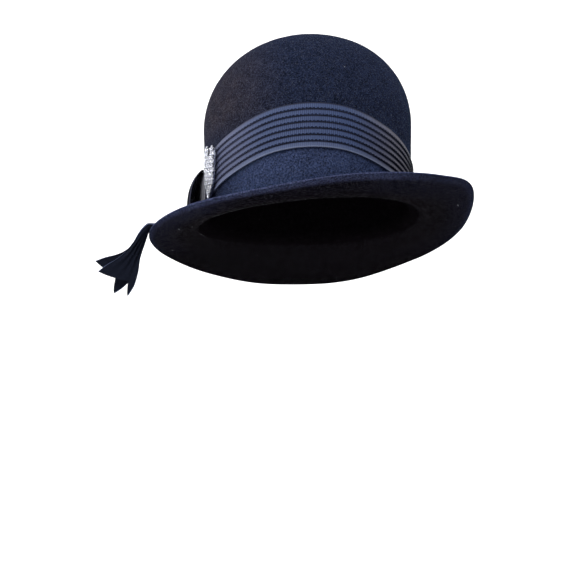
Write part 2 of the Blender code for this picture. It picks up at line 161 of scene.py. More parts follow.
REAR_TAIL = [
    TailSection(0.16, 0.00, 0.00, 0.28, 0, 0.32, 0.55),
    TailSection(0.45, 0.00, 0.00, 0.23, 0, 0.31, 0.60),
    TailSection(0.78, 0.00, 0.00, 0.18, 0, 0.28, 0.65),
    TailSection(1.00, 0.00, 0.00, 0.17, 0, 0.26, 0.70),
    TailSection(1.00, 0.08, 0.03, 0.17, 10, 0.26, 0.75),
    TailSection(1.00, 0.16, 0.14, 0.17, 38, 0.27, 0.75),
    TailSection(1.00, 0.25, 0.31, 0.16, 60, 0.31, 0.70),
    TailSection(1.00, 0.39, 0.49, 0.15, 74, 0.46, 0.55),
    TailSection(1.00, 0.57, 0.66, 0.13, 80, 0.70, 0.40),
    TailSection(1.00, 0.79, 0.80, 0.11, 84, 0.92, 0.25),
    TailSection(1.00, 1.03, 0.91, 0.09, 86, 1.00, 0.15),
]

# Half the brooch's outline from its tip to the notch between its lobes, as shares of its half sizes.
OutlinePoint = namedtuple("OutlinePoint", "across up")
BROOCH_OUTLINE = [
    OutlinePoint(0.14, 0.00),
    OutlinePoint(0.34, 0.05),
    OutlinePoint(0.54, 0.15),
    OutlinePoint(0.74, 0.22),
    OutlinePoint(0.89, 0.34),
    OutlinePoint(0.97, 0.50),
    OutlinePoint(1.00, 0.66),
    OutlinePoint(1.00, 0.84),
    OutlinePoint(0.90, 0.94),
    OutlinePoint(0.70, 1.00),
    OutlinePoint(0.40, 1.00),
    OutlinePoint(0.22, 0.93),
    OutlinePoint(0.08, 0.78),
]

# The stones from the tip upwards: height, places across and radius, as shares.
StoneRow = namedtuple("StoneRow", "up across radius")
STONE_ROWS = [
    StoneRow(0.050, (0.0,), 0.78),
    StoneRow(0.128, (-0.21, 0.21), 0.90),
    StoneRow(0.208, (-0.42, 0.0, 0.42), 0.94),
    StoneRow(0.290, (-0.62, -0.21, 0.21, 0.62), 0.96),
    StoneRow(0.370, (-0.77, -0.39, 0.0, 0.39, 0.77), 0.96),
    StoneRow(0.450, (-0.62, -0.21, 0.21, 0.62), 1.00),
    StoneRow(0.530, (-0.80, -0.40, 0.0, 0.40, 0.80), 1.00),
    StoneRow(0.610, (-0.62, -0.21, 0.21, 0.62), 1.00),
    StoneRow(0.690, (-0.81, -0.40, 0.0, 0.40, 0.81), 1.00),
    StoneRow(0.770, (-0.64, -0.25, 0.25, 0.64), 1.00),
    StoneRow(0.850, (-0.81, -0.43, 0.43, 0.81), 0.98),
    StoneRow(0.930, (-0.66, -0.32, 0.32, 0.66), 0.82),
]

# The faces of one cut stone, from its table down to its point: radius and height as shares.
CutRing = namedtuple("CutRing", "radius height twist")
STONE_CUT = [
    CutRing(0.55, 1.00, 0.0),
    CutRing(0.82, 0.62, 0.5),
    CutRing(1.00, 0.10, 0.0),
    CutRing(1.00, 0.00, 0.0),
]
STONE_SIDES = 8
"""Sides of a stone's table."""
STONE_TILT = 0.08
"""How far the stones lean from one another in their cups, in radians."""
STONE_SHARE = 0.90
"""A stone's radius as a share of its cup's."""
STONE_POINT = 0.8
"""How far a stone's point reaches down into the rim's depth."""
MOSTLY_BRIGHT = (0.6, 0.85, 0.2)
"""The chance that a stone is bright, and the share of bright facets in a bright and in a dim stone."""
STONE_INDEX = 1.6
CUP_SIDES = 20
CUP_FOOT = 0.98
CUP_LIP = 1.03
PRONGS = 4
PRONG_PLACE = 0.97
PRONG_RISE = 0.18
PIN_SIDES = 16


def length(name, description, default):
    """A size in metres for the sidebar."""
    return FloatProperty(
        name=name, description=description, default=default, precision=4, unit="LENGTH", subtype="DISTANCE"
    )


def share(name, description, default):
    """A share or a strength, which has no unit."""
    return FloatProperty(name=name, description=description, default=default, precision=3)


def angle(name, description, degrees):
    """An angle, given here in degrees."""
    return FloatProperty(
        name=name, description=description, default=math.radians(degrees), unit="ROTATION", subtype="ANGLE"
    )


def colour(name, description, default):
    """A colour for the sidebar, in linear red, green and blue."""
    return FloatVectorProperty(
        name=name, description=description, default=default, size=3, min=0.0, max=1.0, subtype="COLOR"
    )


def count(name, description, default):
    """A number of like things."""
    return IntProperty(name=name, description=description, default=default, min=1)


class HatForm(bpy.types.PropertyGroup):
    """Sizes of the felt crown and brim."""

    crown_width: length("Crown width", "Outside width of the crown at the head opening", 0.178)
    crown_depth: length("Crown depth", "Outside size of the crown from front to back", 0.198)
    crown_height: length("Crown height", "Height of the crown above the head opening", 0.1584)
    dome_height: length("Dome height", "Height of the rounded top", 0.0815)
    dome_fullness: share("Dome fullness", "How square the rounded top is; 2 is an ellipse", 2.07)
    crown_swell: length("Crown swell", "How much wider the crown is where the dome starts", 0.0017)
    lean_left: length("Lean left", "How far the top leans to the wearer's left", 0.0014)
    lean_forward: length("Lean forward", "How far the top leans forward", 0.0026)
    felt_wall: length("Felt thickness", "Thickness of the felt", 0.0024)
    brim_width: length("Brim width", "Width of the brim from side to side", 0.2824)
    brim_length: length("Brim length", "Size of the brim from front to back", 0.2824)
    brim_shift_left: length("Brim shift left", "How far the brim lies to the wearer's left", 0.0040)
    brim_shift_back: length("Brim shift back", "How far the brim lies to the back", 0.0032)
    brim_drop: length("Brim drop", "How far the rim drops at the back", 0.0446)
    brim_roll: length("Brim roll", "How deep the brim dips between crown and rim", 0.006)
    brim_turn: length("Brim turn", "Size of the curve from crown to brim", 0.006)
    head_line_rise: length("Head line rise", "How far the head opening tilts", 0.006)
    unevenness: length("Unevenness", "How far hand-blocked felt strays from its form", 0.0005)


class BandForm(bpy.types.PropertyGroup):
    """Sizes of the tucked band and its stitches."""

    height: length("Band height", "Height of the whole band", 0.035)
    lift: length("Band lift", "How far the band rises over the brow", 0.028)
    rows: count("Tucks", "How many tucks lie over each other", 7)
    edge: length("Tuck edge", "Thickness of a tuck at its upper edge", 0.0007)
    tuck: length("Tuck lip", "Thickness of a tuck at its lower lip", 0.0019)
    seat_gap: length("Seat gap", "Clearance between pieces that touch", 0.0003)
    stitch_length: length("Stitch length", "Length of a stitch", 0.0018)
    stitch_pitch: length("Stitch pitch", "Distance from stitch to stitch", 0.0029)
    thread: length("Thread", "Thickness of the sewing thread", 0.00055)


class RibbonForm(bpy.types.PropertyGroup):
    """Sizes of the ribbon loop and the two ribbon ends."""

    width: length("Ribbon width", "Full width of the ribbon", 0.032)
    wall: length("Ribbon thickness", "Thickness of the woven ribbon", 0.0005)
    solid_wall: length("Solid thickness", "Thickness of the plain solid that the ribbon fills", 0.001)
    loop_angle: angle("Loop angle", "Where the loop starts round the crown", -84.0)
    loop_foot: length("Loop foot", "Height of the loop's lowest point", 0.004)
    loop_height: length("Loop height", "Height of the loop", 0.035)
    loop_bulge: length("Loop bulge", "How far the loop stands off the band", 0.0135)
    loop_flare: length("Loop flare", "How much further its back edge stands off", -0.0008)
    tail_angle: angle("Tail angle", "Where the ribbon ends cross the rim", -91.0)
    tail_reach: length("Tail reach", "How far the ends reach out past the rim", 0.037)
    tail_fall: length("Tail fall", "How far the ends fall below the rim", 0.0445)
    tail_ripple: length("Tail ripple", "Depth of the ends' soft waves", 0.0022)
    front_notch_depth: length("Front notch depth", "Depth of the notch in the front end", 0.0105)
    rear_notch_depth: length("Rear notch depth", "Depth of the notch in the rear end", 0.0085)
    front_notch: share("Front notch", "Where the front end's notch is across the ribbon", 0.76)
    rear_notch: share("Rear notch", "Where the rear end's notch is across the ribbon", 0.60)
    notch_start: share("Notch start", "Where along the ribbon the notch starts to tell", 0.75)
    tail_seat: length("Tail seat", "Clearance between ribbon and felt", 0.0006)
    gather_thickening: share("Gather thickening", "How much thicker the solid is where it is gathered", 0.7)
    curl: length("Curl", "How far an end cups across its width", 0.0024)
    pleats: count("Pleats", "How many fine pleats gather an end", 4)
    closing: share("Loop closing", "Where across the ribbon the loop is drawn together at the back", 0.66)


class BroochForm(bpy.types.PropertyGroup):
    """Sizes of the brooch's setting, stones and pin."""

    angle: angle("Brooch angle", "Where the brooch is round the crown", -75.0)
    middle: length("Brooch middle", "Height of its middle above the head opening", 0.0342)
    tilt: angle("Brooch tilt", "How far its tip leans to the back", -5.5)
    width: length("Brooch width", "Its width", 0.021)
    height: length("Brooch height", "Its height", 0.0432)
    plate: length("Plate", "Thickness of the setting", 0.0014)
    rim: length("Rim", "Thickness of the raised edge", 0.0005)
    stone: length("Stone radius", "Radius of the largest stone", 0.0018)
    crown: length("Stone crown", "Height of a stone above the setting", 0.0011)
    prong: length("Prong radius", "Radius of a prong's bead", 0.00034)
    pin_radius: length("Pin radius", "Radius of the pin behind it", 0.00055)
    pin_length: length("Pin length", "Length of the pin behind it", 0.028)
    pin_sink: length("Pin sink", "How far the pin is let into the plate", 0.0002)


class HatColours(bpy.types.PropertyGroup):
    """Colours of the felt, ribbons and brooch."""

    felt: colour("Felt", "Navy of the brushed felt", (0.0066, 0.0094, 0.0210))
    # Painted warm light: a brownish tint on the felt's side towards the ribbons, where the key light falls.
    felt_warm_lit: colour("Warm-lit felt", "Felt where painted warm light falls", (0.0165, 0.0142, 0.0178))
    # Painted shade: the same navy felt made near black where it lies inside the crown and under the brim.
    felt_shaded_under: colour("Under felt", "Felt inside the crown and under the brim", (0.0013, 0.0011, 0.0014))
    felt_rim: colour("Rim felt", "Under felt near the rim, where light reaches it", (0.0056, 0.0064, 0.0125))
    # Painted highlight: the cut edge is lighter than the felt for the light that it catches.
    felt_edge_highlight: colour("Cut edge", "The felt's cut edge at the rim", (0.0230, 0.0280, 0.0590))
    # Lighter than the felt: painted sheen on the real loose fibres.
    nap: colour("Nap", "Loose fibres that stand off the felt", (0.0480, 0.0530, 0.0800))
    # Painted shade: a dimmer copy of the nap's colour for the fibres under the brim.
    shaded_under_nap: colour("Under nap", "Loose fibres under the brim", (0.0190, 0.0190, 0.0260))
    lint: colour("Lint", "Specks of pale lint", (0.3000, 0.3000, 0.3300))
    band: colour("Band", "Blue-grey of the band's ribs", (0.0365, 0.0560, 0.1270))
    # Painted shade in the grooves between the band's ribs.
    band_groove_shade: colour("Band groove", "Between the band's ribs", (0.0190, 0.0270, 0.0610))
    # Painted shadow under the lip of the tuck above.
    band_shadow: colour("Band tuck", "Where one tuck goes under the next", (0.0080, 0.0095, 0.0220))
    stitch: colour("Stitches", "Sewing thread", (0.0050, 0.0055, 0.0100))
    loop: colour("Loop", "Ribs of the loop", (0.0100, 0.0105, 0.0160))
    # Painted light: the light that falls into the loop, on its layer over the band.
    loop_lit_inner: colour("Loop inside", "The loop's paler layer, on the band", (0.3200, 0.3300, 0.3900))
    tails: colour("Ribbon ends", "Ribs of the ribbon ends", (0.0085, 0.0110, 0.0200))
    # Painted shade in the grooves between the ribs of loop and ends.
    ribbon_groove_shade: colour("Ribbon groove", "Between the ribs of loop and ends", (0.0040, 0.0045, 0.0075))
    band_brown: colour("Band brown", "The band towards the wearer's left", (0.0430, 0.0385, 0.0520))
    # Painted light on the band's side towards the brooch, where the key light falls.
    band_lit_side: colour("Lit band side", "The band towards the brooch", (0.0900, 0.0950, 0.1500))
    band_edge: colour("Band edge", "The band's pale lowest edge", (0.1100, 0.1300, 0.2000))
    setting: colour("Setting", "Silver-coloured metal", (0.4800, 0.4950, 0.5600))
    # Painted shade: the metal made near black where it lies between the stones.
    recess_shade: colour("Recess shade", "Darkened metal between the stones", (0.0600, 0.0600, 0.0660))
    foil: colour("Foil", "Bright backing under the stones", (0.6000, 0.6200, 0.7200))
    foil_dim: colour("Dim foil", "Backing of the facets that turn from the light", (0.0900, 0.0950, 0.1250))


class StudioSetup(bpy.types.PropertyGroup):
    """The camera's place and the studio round the hat."""

    distance: length("Camera distance", "From the camera to the hat's middle", 0.8)
    azimuth: angle("Camera azimuth", "Camera's turn round the hat from its front", -14.6547)
    elevation: angle("Camera elevation", "Camera's height angle, negative when it looks up", -8.2291)
    roll: angle("Camera roll", "Tilt of the picture", 1.1351)
    aim_height: length("Aim height", "Height of the point that the camera is set by", -0.005)
    floor_drop: length("Floor drop", "From the hat's lowest point down to the floor", 0.25)
    floor: colour("Floor", "Floor and backdrop", (0.9000, 0.9000, 0.9000))
    key_power: share("Key light", "Watts of the large light at the front left", 42.0)
    fill_power: share("Fill light", "Watts of the cooler light at the front right", 9.0)
    top_power: share("Top light", "Watts of the light above", 8.0)
    backdrop_power: share("Backdrop light", "Watts of each light on the backdrop", 40.0)
    sky: share("Sky", "Strength of the light from all round", 0.3)


# The camera's frame in pixels, and where the point that the camera is set by falls in it.
PICTURE_SIZE = 580
FOCAL_PIXELS = 903.775
AIM_ACROSS = 307.286
AIM_DOWN = 225.0715
SENSOR = 36.0

# Where the tints and the painted light and shade change over the hat: from the first place to the second, in
# metres along one axis.
# The painted warm light on the felt's side towards the ribbons, and how high it reaches.
WARM_LIGHT_ACROSS = (-0.030, -0.092)
WARM_LIGHT_UP = (0.040, 0.085)
# The painted pool of light on the felt low over the brow.
FRONT_LIGHT_DOWN = (0.060, 0.030)
FRONT_LIGHT_AHEAD = (-0.025, -0.075)
# The painted light under the rim and along its lip.
RAISED_RIM_UP = (-0.030, 0.004)
RIM_BY_BROOCH = (-0.075, -0.118)
RIM_FAR_SIDE = (0.0, 0.035)
LIP_FAR_SIDE = (0.020, 0.075)
BAND_TO_LEFT = (0.005, 0.060)
# The painted light on the band towards the brooch.
BAND_TO_BROOCH = (-0.050, -0.080)

# How much light the felt under the rim shows: in front, by the brooch and on the far side.
RIM_LIGHT_FRONT = 0.15
RIM_LIGHT_BROOCH = 1.0
RIM_LIGHT_FAR = 0.38
LIP_LIGHT = 0.55
LIP_LIGHT_FAR = 0.20
RIM_REACH = (0.78, 0.98)
"""Where that light starts and ends, as shares of the way out to the rim."""
LIP_REACH = (0.962, 1.0)

# The felt's grain and relief.
FELT_ROUGHNESS = 0.95
CLOUD_SCALE = 120.0
FIBRE_SCALE = 750.0
# How much the painted pool of light lightens the felt low over the brow.
FRONT_LIGHT_LIFT = 2.1
FELT_RELIEF = 0.00035
EDGE_RELIEF = 0.0004
UNDER_RELIEF = 0.0003
FELT_SHEEN = 0.02
EDGE_SHEEN = 0.03
SHEEN_ROUGHNESS = 0.45
SHEEN_TINT = (0.45, 0.52, 0.75, 1.0)

# The ribbons' weave, in metres, and how each takes the light.
BAND_RIB_PITCH = 0.0016
RIBBON_RIB_PITCH = 0.0010
# The width of the painted highlight along a ribbon's edges.
LIT_EDGE_WIDTH = 0.0008
RIB_RELIEF = 0.00015
RIBBON_ROUGHNESS = 0.6
RIBBON_SHEEN = 0.02
RIBBON_SHEEN_ROUGHNESS = 0.4
BAND_GLOSS = 0.1
BAND_CLOTH_WIDTH = 1.0
# Wider than the band, so that no tuck shows a painted edge highlight of its own.
"""Wider than the band, so that no tuck shows a woven edge of its own."""
# Strengths of the painted highlight along the edges of the loop and of the ends.
LOOP_EDGE_LIGHT = 7.0
END_EDGE_LIGHT = 11.0

# The band's shades down its tucks, as shares of a tuck or of the band's height, and their strengths: the
# painted shadow under each tuck's lip, the painted light towards the brooch, which also lifts that shadow,
# and the lighter last tuck and lowest edge.
TUCK_SHADOW = (0.10, 0.34)
LAST_TUCK = (0.87, 0.92)
LOWEST_EDGE = (0.965, 0.985)
BROWN_SHARE = 0.85
LIT_SIDE_SHARE = 0.42
LIT_SIDE_SHADOW = 0.45
LAST_TUCK_SHARE = 0.20
LOWEST_SHARE = 0.45

SKY_LOW = (0.10, 0.10, 0.11)
SKY_HIGH = (1.55, 1.60, 1.70)
SKY_RISE = (-0.1, 0.6)

# The studio's soft lights: place, size in metres and tint. All but the backdrop's aim at the hat.
SoftLight = namedtuple("SoftLight", "place size tint")
KEY_LIGHT = SoftLight((-0.95, -1.35, 1.15), 0.9, (1.0, 0.97, 0.92))
FILL_LIGHT = SoftLight((1.1, -1.5, 0.7), 1.1, (0.86, 0.92, 1.0))
TOP_LIGHT = SoftLight((0.1, 0.2, 1.5), 1.2, (0.95, 0.97, 1.0))
BACKDROP_LIGHT = SoftLight((1.6, 0.4, 1.3), 1.2, (1.0, 1.0, 1.0))
HAT_AIM = (0.0, 0.0, 0.05)
BACKDROP_AIM = (0.0, 1.7, 0.1)

# The floor and backdrop, in metres: its near and far end, its curve, its height and half its width.
FLOOR_NEAR = -2.2
FLOOR_FAR = 1.9
FLOOR_CURVE = 0.9
FLOOR_CURVE_STEPS = 16
BACKDROP_TOP = 2.4
FLOOR_HALF = 3.2

# How finely the pieces are cut.
FELT_AROUND = 240
DOME_STEPS = 36
WALL_STEPS = 16
TURN_STEPS = 8
BRIM_STEPS = 26
EDGE_STEPS = 5
BAND_AROUND = 300
LOOP_STEPS = 90
LOOP_COLUMNS = 14
CLOSING_RINGS = 10
TAIL_STEPS = 88
TAIL_COLUMNS = 48
NEAR_STEP = 0.05
LOOP_NEAR = 0.25
LIT_INNER_REACH = 0.86
# How far out the loop's paler layer of painted light reaches, as a share of the loop's bulge.
"""How far out the loop's paler layer reaches, as a share of the loop's bulge."""
INNER_LAYER = 0.64
"""The share of the way round the loop where its layer on the band starts."""
STITCH_DROP = 0.91
"""Where a stitch lies down its tuck."""
STITCH_LIP = 1.00
"""How thick the tuck is there, between its thin edge and full lip."""
THREAD_SIDES = 6
THREAD_RINGS = ((0.0, 0.4), (0.2, 1.0), (0.8, 1.0), (1.0, 0.4))
"""Along a stitch: the place and the thickness, as shares."""
PLEAT_DEPTH = 0.03
"""How deep the closing's pleats are, as a share of the ribbon's width."""
PLEATS_ROUND = 11
CLOSING_DEPTH = 0.26
"""How far back the closing draws in at its middle, as a share of the ribbon's width."""
PLEAT_STEEPNESS = 1.55
PLEAT_START = 0.6
SPREAD_FLATTENS = 0.75
"""How much shallower an end's pleats are where it is fully spread."""
WELD_GAP = 1e-6
BAND_SHARP = 70
RIBBON_SHARP = 60
SETTING_SHARP = 40
"""Edges sharper than this many degrees stay crisp."""

# Hand-blocked felt: the size and share of its broad and small unevenness, and the rim's waver.
BROAD_STRAY = 28.0
SMALL_STRAY = 75.0
SMALL_SHARE = 0.35
STRAY_SHARE = 0.5
WAVER = 2.1
WAVER_SHARE = 1.6

# Loose fibres and lint, in metres, and how far each stands up and lies over, as shares of its length.
NAP_FIBRES = 90000
LINT_SPECKS = 16
FIBRE_LENGTHS = (0.0006, 0.0013)
FIBRE_HALF_WIDTH = 0.00006
LINT_LENGTHS = (0.0010, 0.0022)
LINT_HALF_WIDTH = 0.00012
FIBRE_STANDS = 0.45
FIBRE_LIES = 0.8
SEED = 11


def eased(before, start, end, after, part):
    """A smooth value between start and end, led by the values on either side of them."""
    return 0.5 * (
        2 * start
        + (end - before) * part
        + (2 * before - 5 * start + 4 * end - after) * part**2
        + (3 * start - before - 3 * end + after) * part**3
    )


def row_between(rows, place, closed):
    """The table's row at a place counted in rows, every column eased; a closed table runs round."""
    last = len(rows) - 1
    index = math.floor(place) if closed else min(int(place), last - 1)
    part = place - index
    if closed:
        near = [rows[(index + step) % len(rows)] for step in (-1, 0, 1, 2)]
    else:
        near = [rows[min(max(index + step, 0), last)] for step in (-1, 0, 1, 2)]
    return type(rows[0])(*(eased(*values, part) for values in zip(*near)))


def row_around(rows, degrees):
    """The table's row at an angle round the hat."""
    return row_between(rows, degrees * len(rows) / 360.0, closed=True)


class Hat:
    """The blocked form of crown and brim, which every other piece sits on."""

    def __init__(self, form):
        self.form = {name: getattr(form, name) for name in form.__annotations__}
        self.shoulder = form.crown_height - form.dome_height

    def crown_share(self, height):
        """The crown's size at a height, as a share of its size at the foot."""
        form = self.form
        swell = 1.0 + form["crown_swell"] / (form["crown_width"] / 2) * height / self.shoulder
        if height <= self.shoulder:
            return swell
        rise = min((height - self.shoulder) / form["dome_height"], 1.0)
        return swell * (1.0 - rise ** form["dome_fullness"]) ** (1.0 / form["dome_fullness"])

    def outward(self, degrees):
        """The level direction out of the crown at one angle."""
        turn = math.radians(degrees)
        return Vector((
            math.sin(turn) / self.form["crown_width"], -math.cos(turn) / self.form["crown_depth"], 0.0
        )).normalized()

    def on_crown(self, degrees, height, out=0.0):
        """A point on the crown, or that far out from it."""
        form = self.form
        turn = math.radians(degrees)
        wide = self.crown_share(height)
        lean = height / form["crown_height"]
        point = Vector((
            form["crown_width"] / 2 * wide * math.sin(turn) + form["lean_left"] * lean,
            -form["crown_depth"] / 2 * wide * math.cos(turn) - form["lean_forward"] * lean,
            height,
        ))
        return point + self.outward(degrees) * out

    def foot_height(self, degrees):
        """Where the crown ends and the brim begins."""
        return self.form["head_line_rise"] * row_around(BRIM_SECTIONS, degrees).foot

    def rim_point(self, degrees):
        """The rim's place at one angle."""
        form = self.form
        turn = math.radians(degrees)
        return Vector((
            form["brim_width"] / 2 * math.sin(turn) + form["brim_shift_left"],
            -form["brim_length"] / 2 * math.cos(turn) + form["brim_shift_back"],
            form["brim_drop"] * row_around(BRIM_SECTIONS, degrees).rim,
        ))

    def on_brim(self, degrees, part):
        """A point on the brim, from the crown (0) to the rim (1)."""
        point = self.on_crown(degrees, self.foot_height(degrees)).lerp(self.rim_point(degrees), part)
        dip = self.form["brim_roll"] * row_around(BRIM_SECTIONS, degrees).roll
        return point - UP * dip * 4 * part * (1 - part)

    def felt_column(self, degrees):
        """The felt's outside from the crown's top down to the rim."""
        form = self.form
        points = []
        for step in range(DOME_STEPS + 1):
            slope = math.pi / 2 * (1 - step / DOME_STEPS)
            rise = math.sin(slope) ** (2 / form["dome_fullness"])
            points.append(self.on_crown(degrees, self.shoulder + form["dome_height"] * rise))
        foot = self.foot_height(degrees)
        wall_end = foot + form["brim_turn"]
        for step in range(1, WALL_STEPS + 1):
            height = self.shoulder + (wall_end - self.shoulder) * step / WALL_STEPS
            points.append(self.on_crown(degrees, height))
        corner = self.on_crown(degrees, foot)
        turn_share = form["brim_turn"] / (self.rim_point(degrees) - corner).length
        start, end = points[-1], self.on_brim(degrees, turn_share)
        for step in range(1, TURN_STEPS + 1):
            part = step / TURN_STEPS
            points.append(start.lerp(corner, part).lerp(corner.lerp(end, part), part))
        for step in range(1, BRIM_STEPS + 1):
            points.append(self.on_brim(degrees, turn_share + (1 - turn_share) * step / BRIM_STEPS))
        return points


def grid_faces(rows, columns, round_columns=False):
    """Faces over a grid of points stored row by row."""
    faces = []
    for row in range(rows - 1):
        below = row + 1
        for column in range(columns if round_columns else columns - 1):
            side = (column + 1) % columns
            faces.append((
                row * columns + column, below * columns + column,
                below * columns + side, row * columns + side,
            ))
    return faces


def mesh_piece(name, points, faces, materials, uv=None, smooth=True):
    """A mesh object at the origin; uv gives each point's place on its cloth in metres."""
    mesh = bpy.data.meshes.new(name)
    mesh.from_pydata([tuple(point) for point in points], [], faces)
    for material in materials:
        mesh.materials.append(material)
    if uv is not None:
        layer = mesh.uv_layers.new(name="cloth")
        corners = np.empty(len(mesh.loops), dtype=np.int32)
        mesh.loops.foreach_get("vertex_index", corners)
        layer.data.foreach_set("uv", np.asarray(uv, dtype=np.float32)[corners].ravel())
    if smooth:
        mesh.shade_smooth()
    piece = bpy.data.objects.new(name, mesh)
    bpy.context.scene.collection.objects.link(piece)
    return piece


def face_outward(piece):
    """Turns every face of a closed piece outwards."""
    work = bmesh.new()
    work.from_mesh(piece.data)
    bmesh.ops.recalc_face_normals(work, faces=work.faces)
    work.to_mesh(piece.data)
    work.free()


def new_material(name, base, roughness, metallic=0.0):
    """A material and its shader, with its constant values set on the shader itself."""
    material = bpy.data.materials.new(name)
    material.use_nodes = True
    shader = material.node_tree.nodes["Principled BSDF"]
    shader.inputs["Base Color"].default_value = (*base, 1.0)
    shader.inputs["Roughness"].default_value = roughness
    shader.inputs["Metallic"].default_value = metallic
    return material, shader


def new_group(name, inputs, outputs):
    """An empty shader node group with named sockets, and its nodes for both ends."""
    group = bpy.data.node_groups.new(name, "ShaderNodeTree")
    kinds = {"vector": "NodeSocketVector", "value": "NodeSocketFloat", "colour": "NodeSocketColor"}
    for label, kind in inputs.items():
        group.interface.new_socket(label, in_out="INPUT", socket_type=kinds[kind])
    for label, kind in outputs.items():
        group.interface.new_socket(label, in_out="OUTPUT", socket_type=kinds[kind])
    return group, group.nodes.new("NodeGroupInput"), group.nodes.new("NodeGroupOutput")


def value_node(tree, operation, first, second=None, third=None):
    """A Math node over sockets or plain numbers."""
    node = tree.nodes.new("ShaderNodeMath")
    node.operation = operation
    for socket, source in zip(node.inputs, (first, second, third)):
        connect(tree, source, socket)
    return node.outputs[0]


def connect(tree, source, socket):
    """Feeds a socket from another socket, or sets it to a plain number."""
    if source is None:
        return
    if isinstance(source, (int, float)):
        socket.default_value = source
    else:
        tree.links.new(source, socket)


def range_node(tree, value, low, high, out_low=0.0, out_high=1.0):
    """A soft step from out_low to out_high as the value goes from low to high."""
    node = tree.nodes.new("ShaderNodeMapRange")
    node.interpolation_type = "SMOOTHSTEP"
    for label, source in zip(("Value", "From Min", "From Max", "To Min", "To Max"),
                             (value, low, high, out_low, out_high)):
        connect(tree, source, node.inputs[label])
    return node.outputs["Result"]


def mix_colour(tree, factor, first, second):
    """A blend of two colours, each a socket or a plain colour."""
    node = tree.nodes.new("ShaderNodeMix")
    node.data_type = "RGBA"
    connect(tree, factor, node.inputs["Factor"])
    for label, source in (("A", first), ("B", second)):
        socket = next(s for s in node.inputs if s.name == label and s.type == "RGBA")
        if isinstance(source, tuple):
            socket.default_value = (*source, 1.0)
        else:
            tree.links.new(source, socket)
    return next(s for s in node.outputs if s.type == "RGBA")


def noise_node(tree, vector, scale, detail, roughness):
    """Cloudy noise from 0 to 1."""
    node = tree.nodes.new("ShaderNodeTexNoise")
    connect(tree, vector, node.inputs["Vector"])
    connect(tree, scale, node.inputs["Scale"])
    node.inputs["Detail"].default_value = detail
    node.inputs["Roughness"].default_value = roughness
    return node.outputs["Fac"]


def nap_group():
    """Napped wool: cloudy colour with a painted warm light tint, a fine fibre grain lightened by a painted
    pool of light, and its height.
    """
    group, start, end = new_group(
        "brushed_wool",
        {"Vector": "vector", "Wool": "colour", "Warm Lit Wool": "colour", "Warm Light": "value",
         "Front Light": "value", "Cloud Scale": "value", "Fibre Scale": "value"},
        {"Color": "colour", "Height": "value"},
    )
    vector = start.outputs["Vector"]
    clouds = noise_node(group, vector, start.outputs["Cloud Scale"], 3.0, 0.55)
    fibres = noise_node(group, vector, start.outputs["Fibre Scale"], 3.0, 0.75)
    # The painted warm light tint, broken up by the clouds.
    painted_light_tone = value_node(group, "MULTIPLY", range_node(group, clouds, 0.3, 0.7, 0.7, 1.0),
                      start.outputs["Warm Light"])
    tinted = mix_colour(group, painted_light_tone, start.outputs["Wool"], start.outputs["Warm Lit Wool"])
    fine = range_node(group, fibres, 0.3, 0.72, 0.25, 1.95)
    grain = value_node(group, "MULTIPLY", fine, range_node(group, clouds, 0.3, 0.7, 0.88, 1.12))
    shaded = group.nodes.new("ShaderNodeVectorMath")
    shaded.operation = "SCALE"
    group.links.new(tinted, shaded.inputs[0])
    # The fibre grain, lightened by the painted pool of light over the brow.
    front_lit = value_node(group, "MULTIPLY", grain, start.outputs["Front Light"])
    group.links.new(front_lit, shaded.inputs["Scale"])
    group.links.new(shaded.outputs[0], end.inputs["Color"])
    group.links.new(fibres, end.inputs["Height"])
    return group


def rib_group():
    """Ribbed ribbon: ribs across it with painted shade in their grooves, a painted highlight along its edges,
    and fine flecks of its threads.
    """
    group, start, end = new_group(
        "ribbed_ribbon",
        {"Cloth": "vector", "Rib": "colour", "Groove Shade": "colour", "Pitch": "value", "Width": "value",
         "Edge": "value", "Edge Light": "value"},
        {"Color": "colour", "Height": "value", "Roughness": "value"},
    )
    place = group.nodes.new("ShaderNodeSeparateXYZ")
    group.links.new(start.outputs["Cloth"], place.inputs[0])
    along, across = place.outputs["X"], place.outputs["Y"]
    ribs_along = value_node(group, "DIVIDE", along, start.outputs["Pitch"])
    turn = value_node(group, "MULTIPLY", ribs_along, math.tau)
    rib = value_node(group, "MULTIPLY_ADD", value_node(group, "SINE", turn), 0.5, 0.5)
    flecks = noise_node(group, start.outputs["Cloth"], 900.0, 3.0, 0.7)
    far_side = value_node(group, "SUBTRACT", start.outputs["Width"], across)
    sides = value_node(group, "MINIMUM", across, far_side)
    # A painted highlight along the ribbon's two edges.
    edge = range_node(group, sides, 0.0, start.outputs["Edge"], 1.0, 0.0)
    # Painted shade in the grooves between the ribs, broken up by the threads' flecks.
    painted_light_tone = value_node(group, "MULTIPLY", value_node(group, "POWER", rib, 0.7),
                      range_node(group, flecks, 0.25, 0.7, 0.55, 1.0))
    shade = mix_colour(group, painted_light_tone, start.outputs["Groove Shade"], start.outputs["Rib"])
    lighter = group.nodes.new("ShaderNodeVectorMath")
    lighter.operation = "SCALE"
    group.links.new(shade, lighter.inputs[0])
    light = value_node(group, "MULTIPLY_ADD", edge, start.outputs["Edge Light"], 1.0)
    group.links.new(light, lighter.inputs["Scale"])
    group.links.new(lighter.outputs[0], end.inputs["Color"])
    height = value_node(group, "ADD", rib, value_node(group, "MULTIPLY", flecks, 0.35))
    group.links.new(value_node(group, "ADD", height, edge), end.inputs["Height"])
    group.links.new(value_node(group, "MULTIPLY_ADD", rib, -0.15, 0.65), end.inputs["Roughness"])
    return group


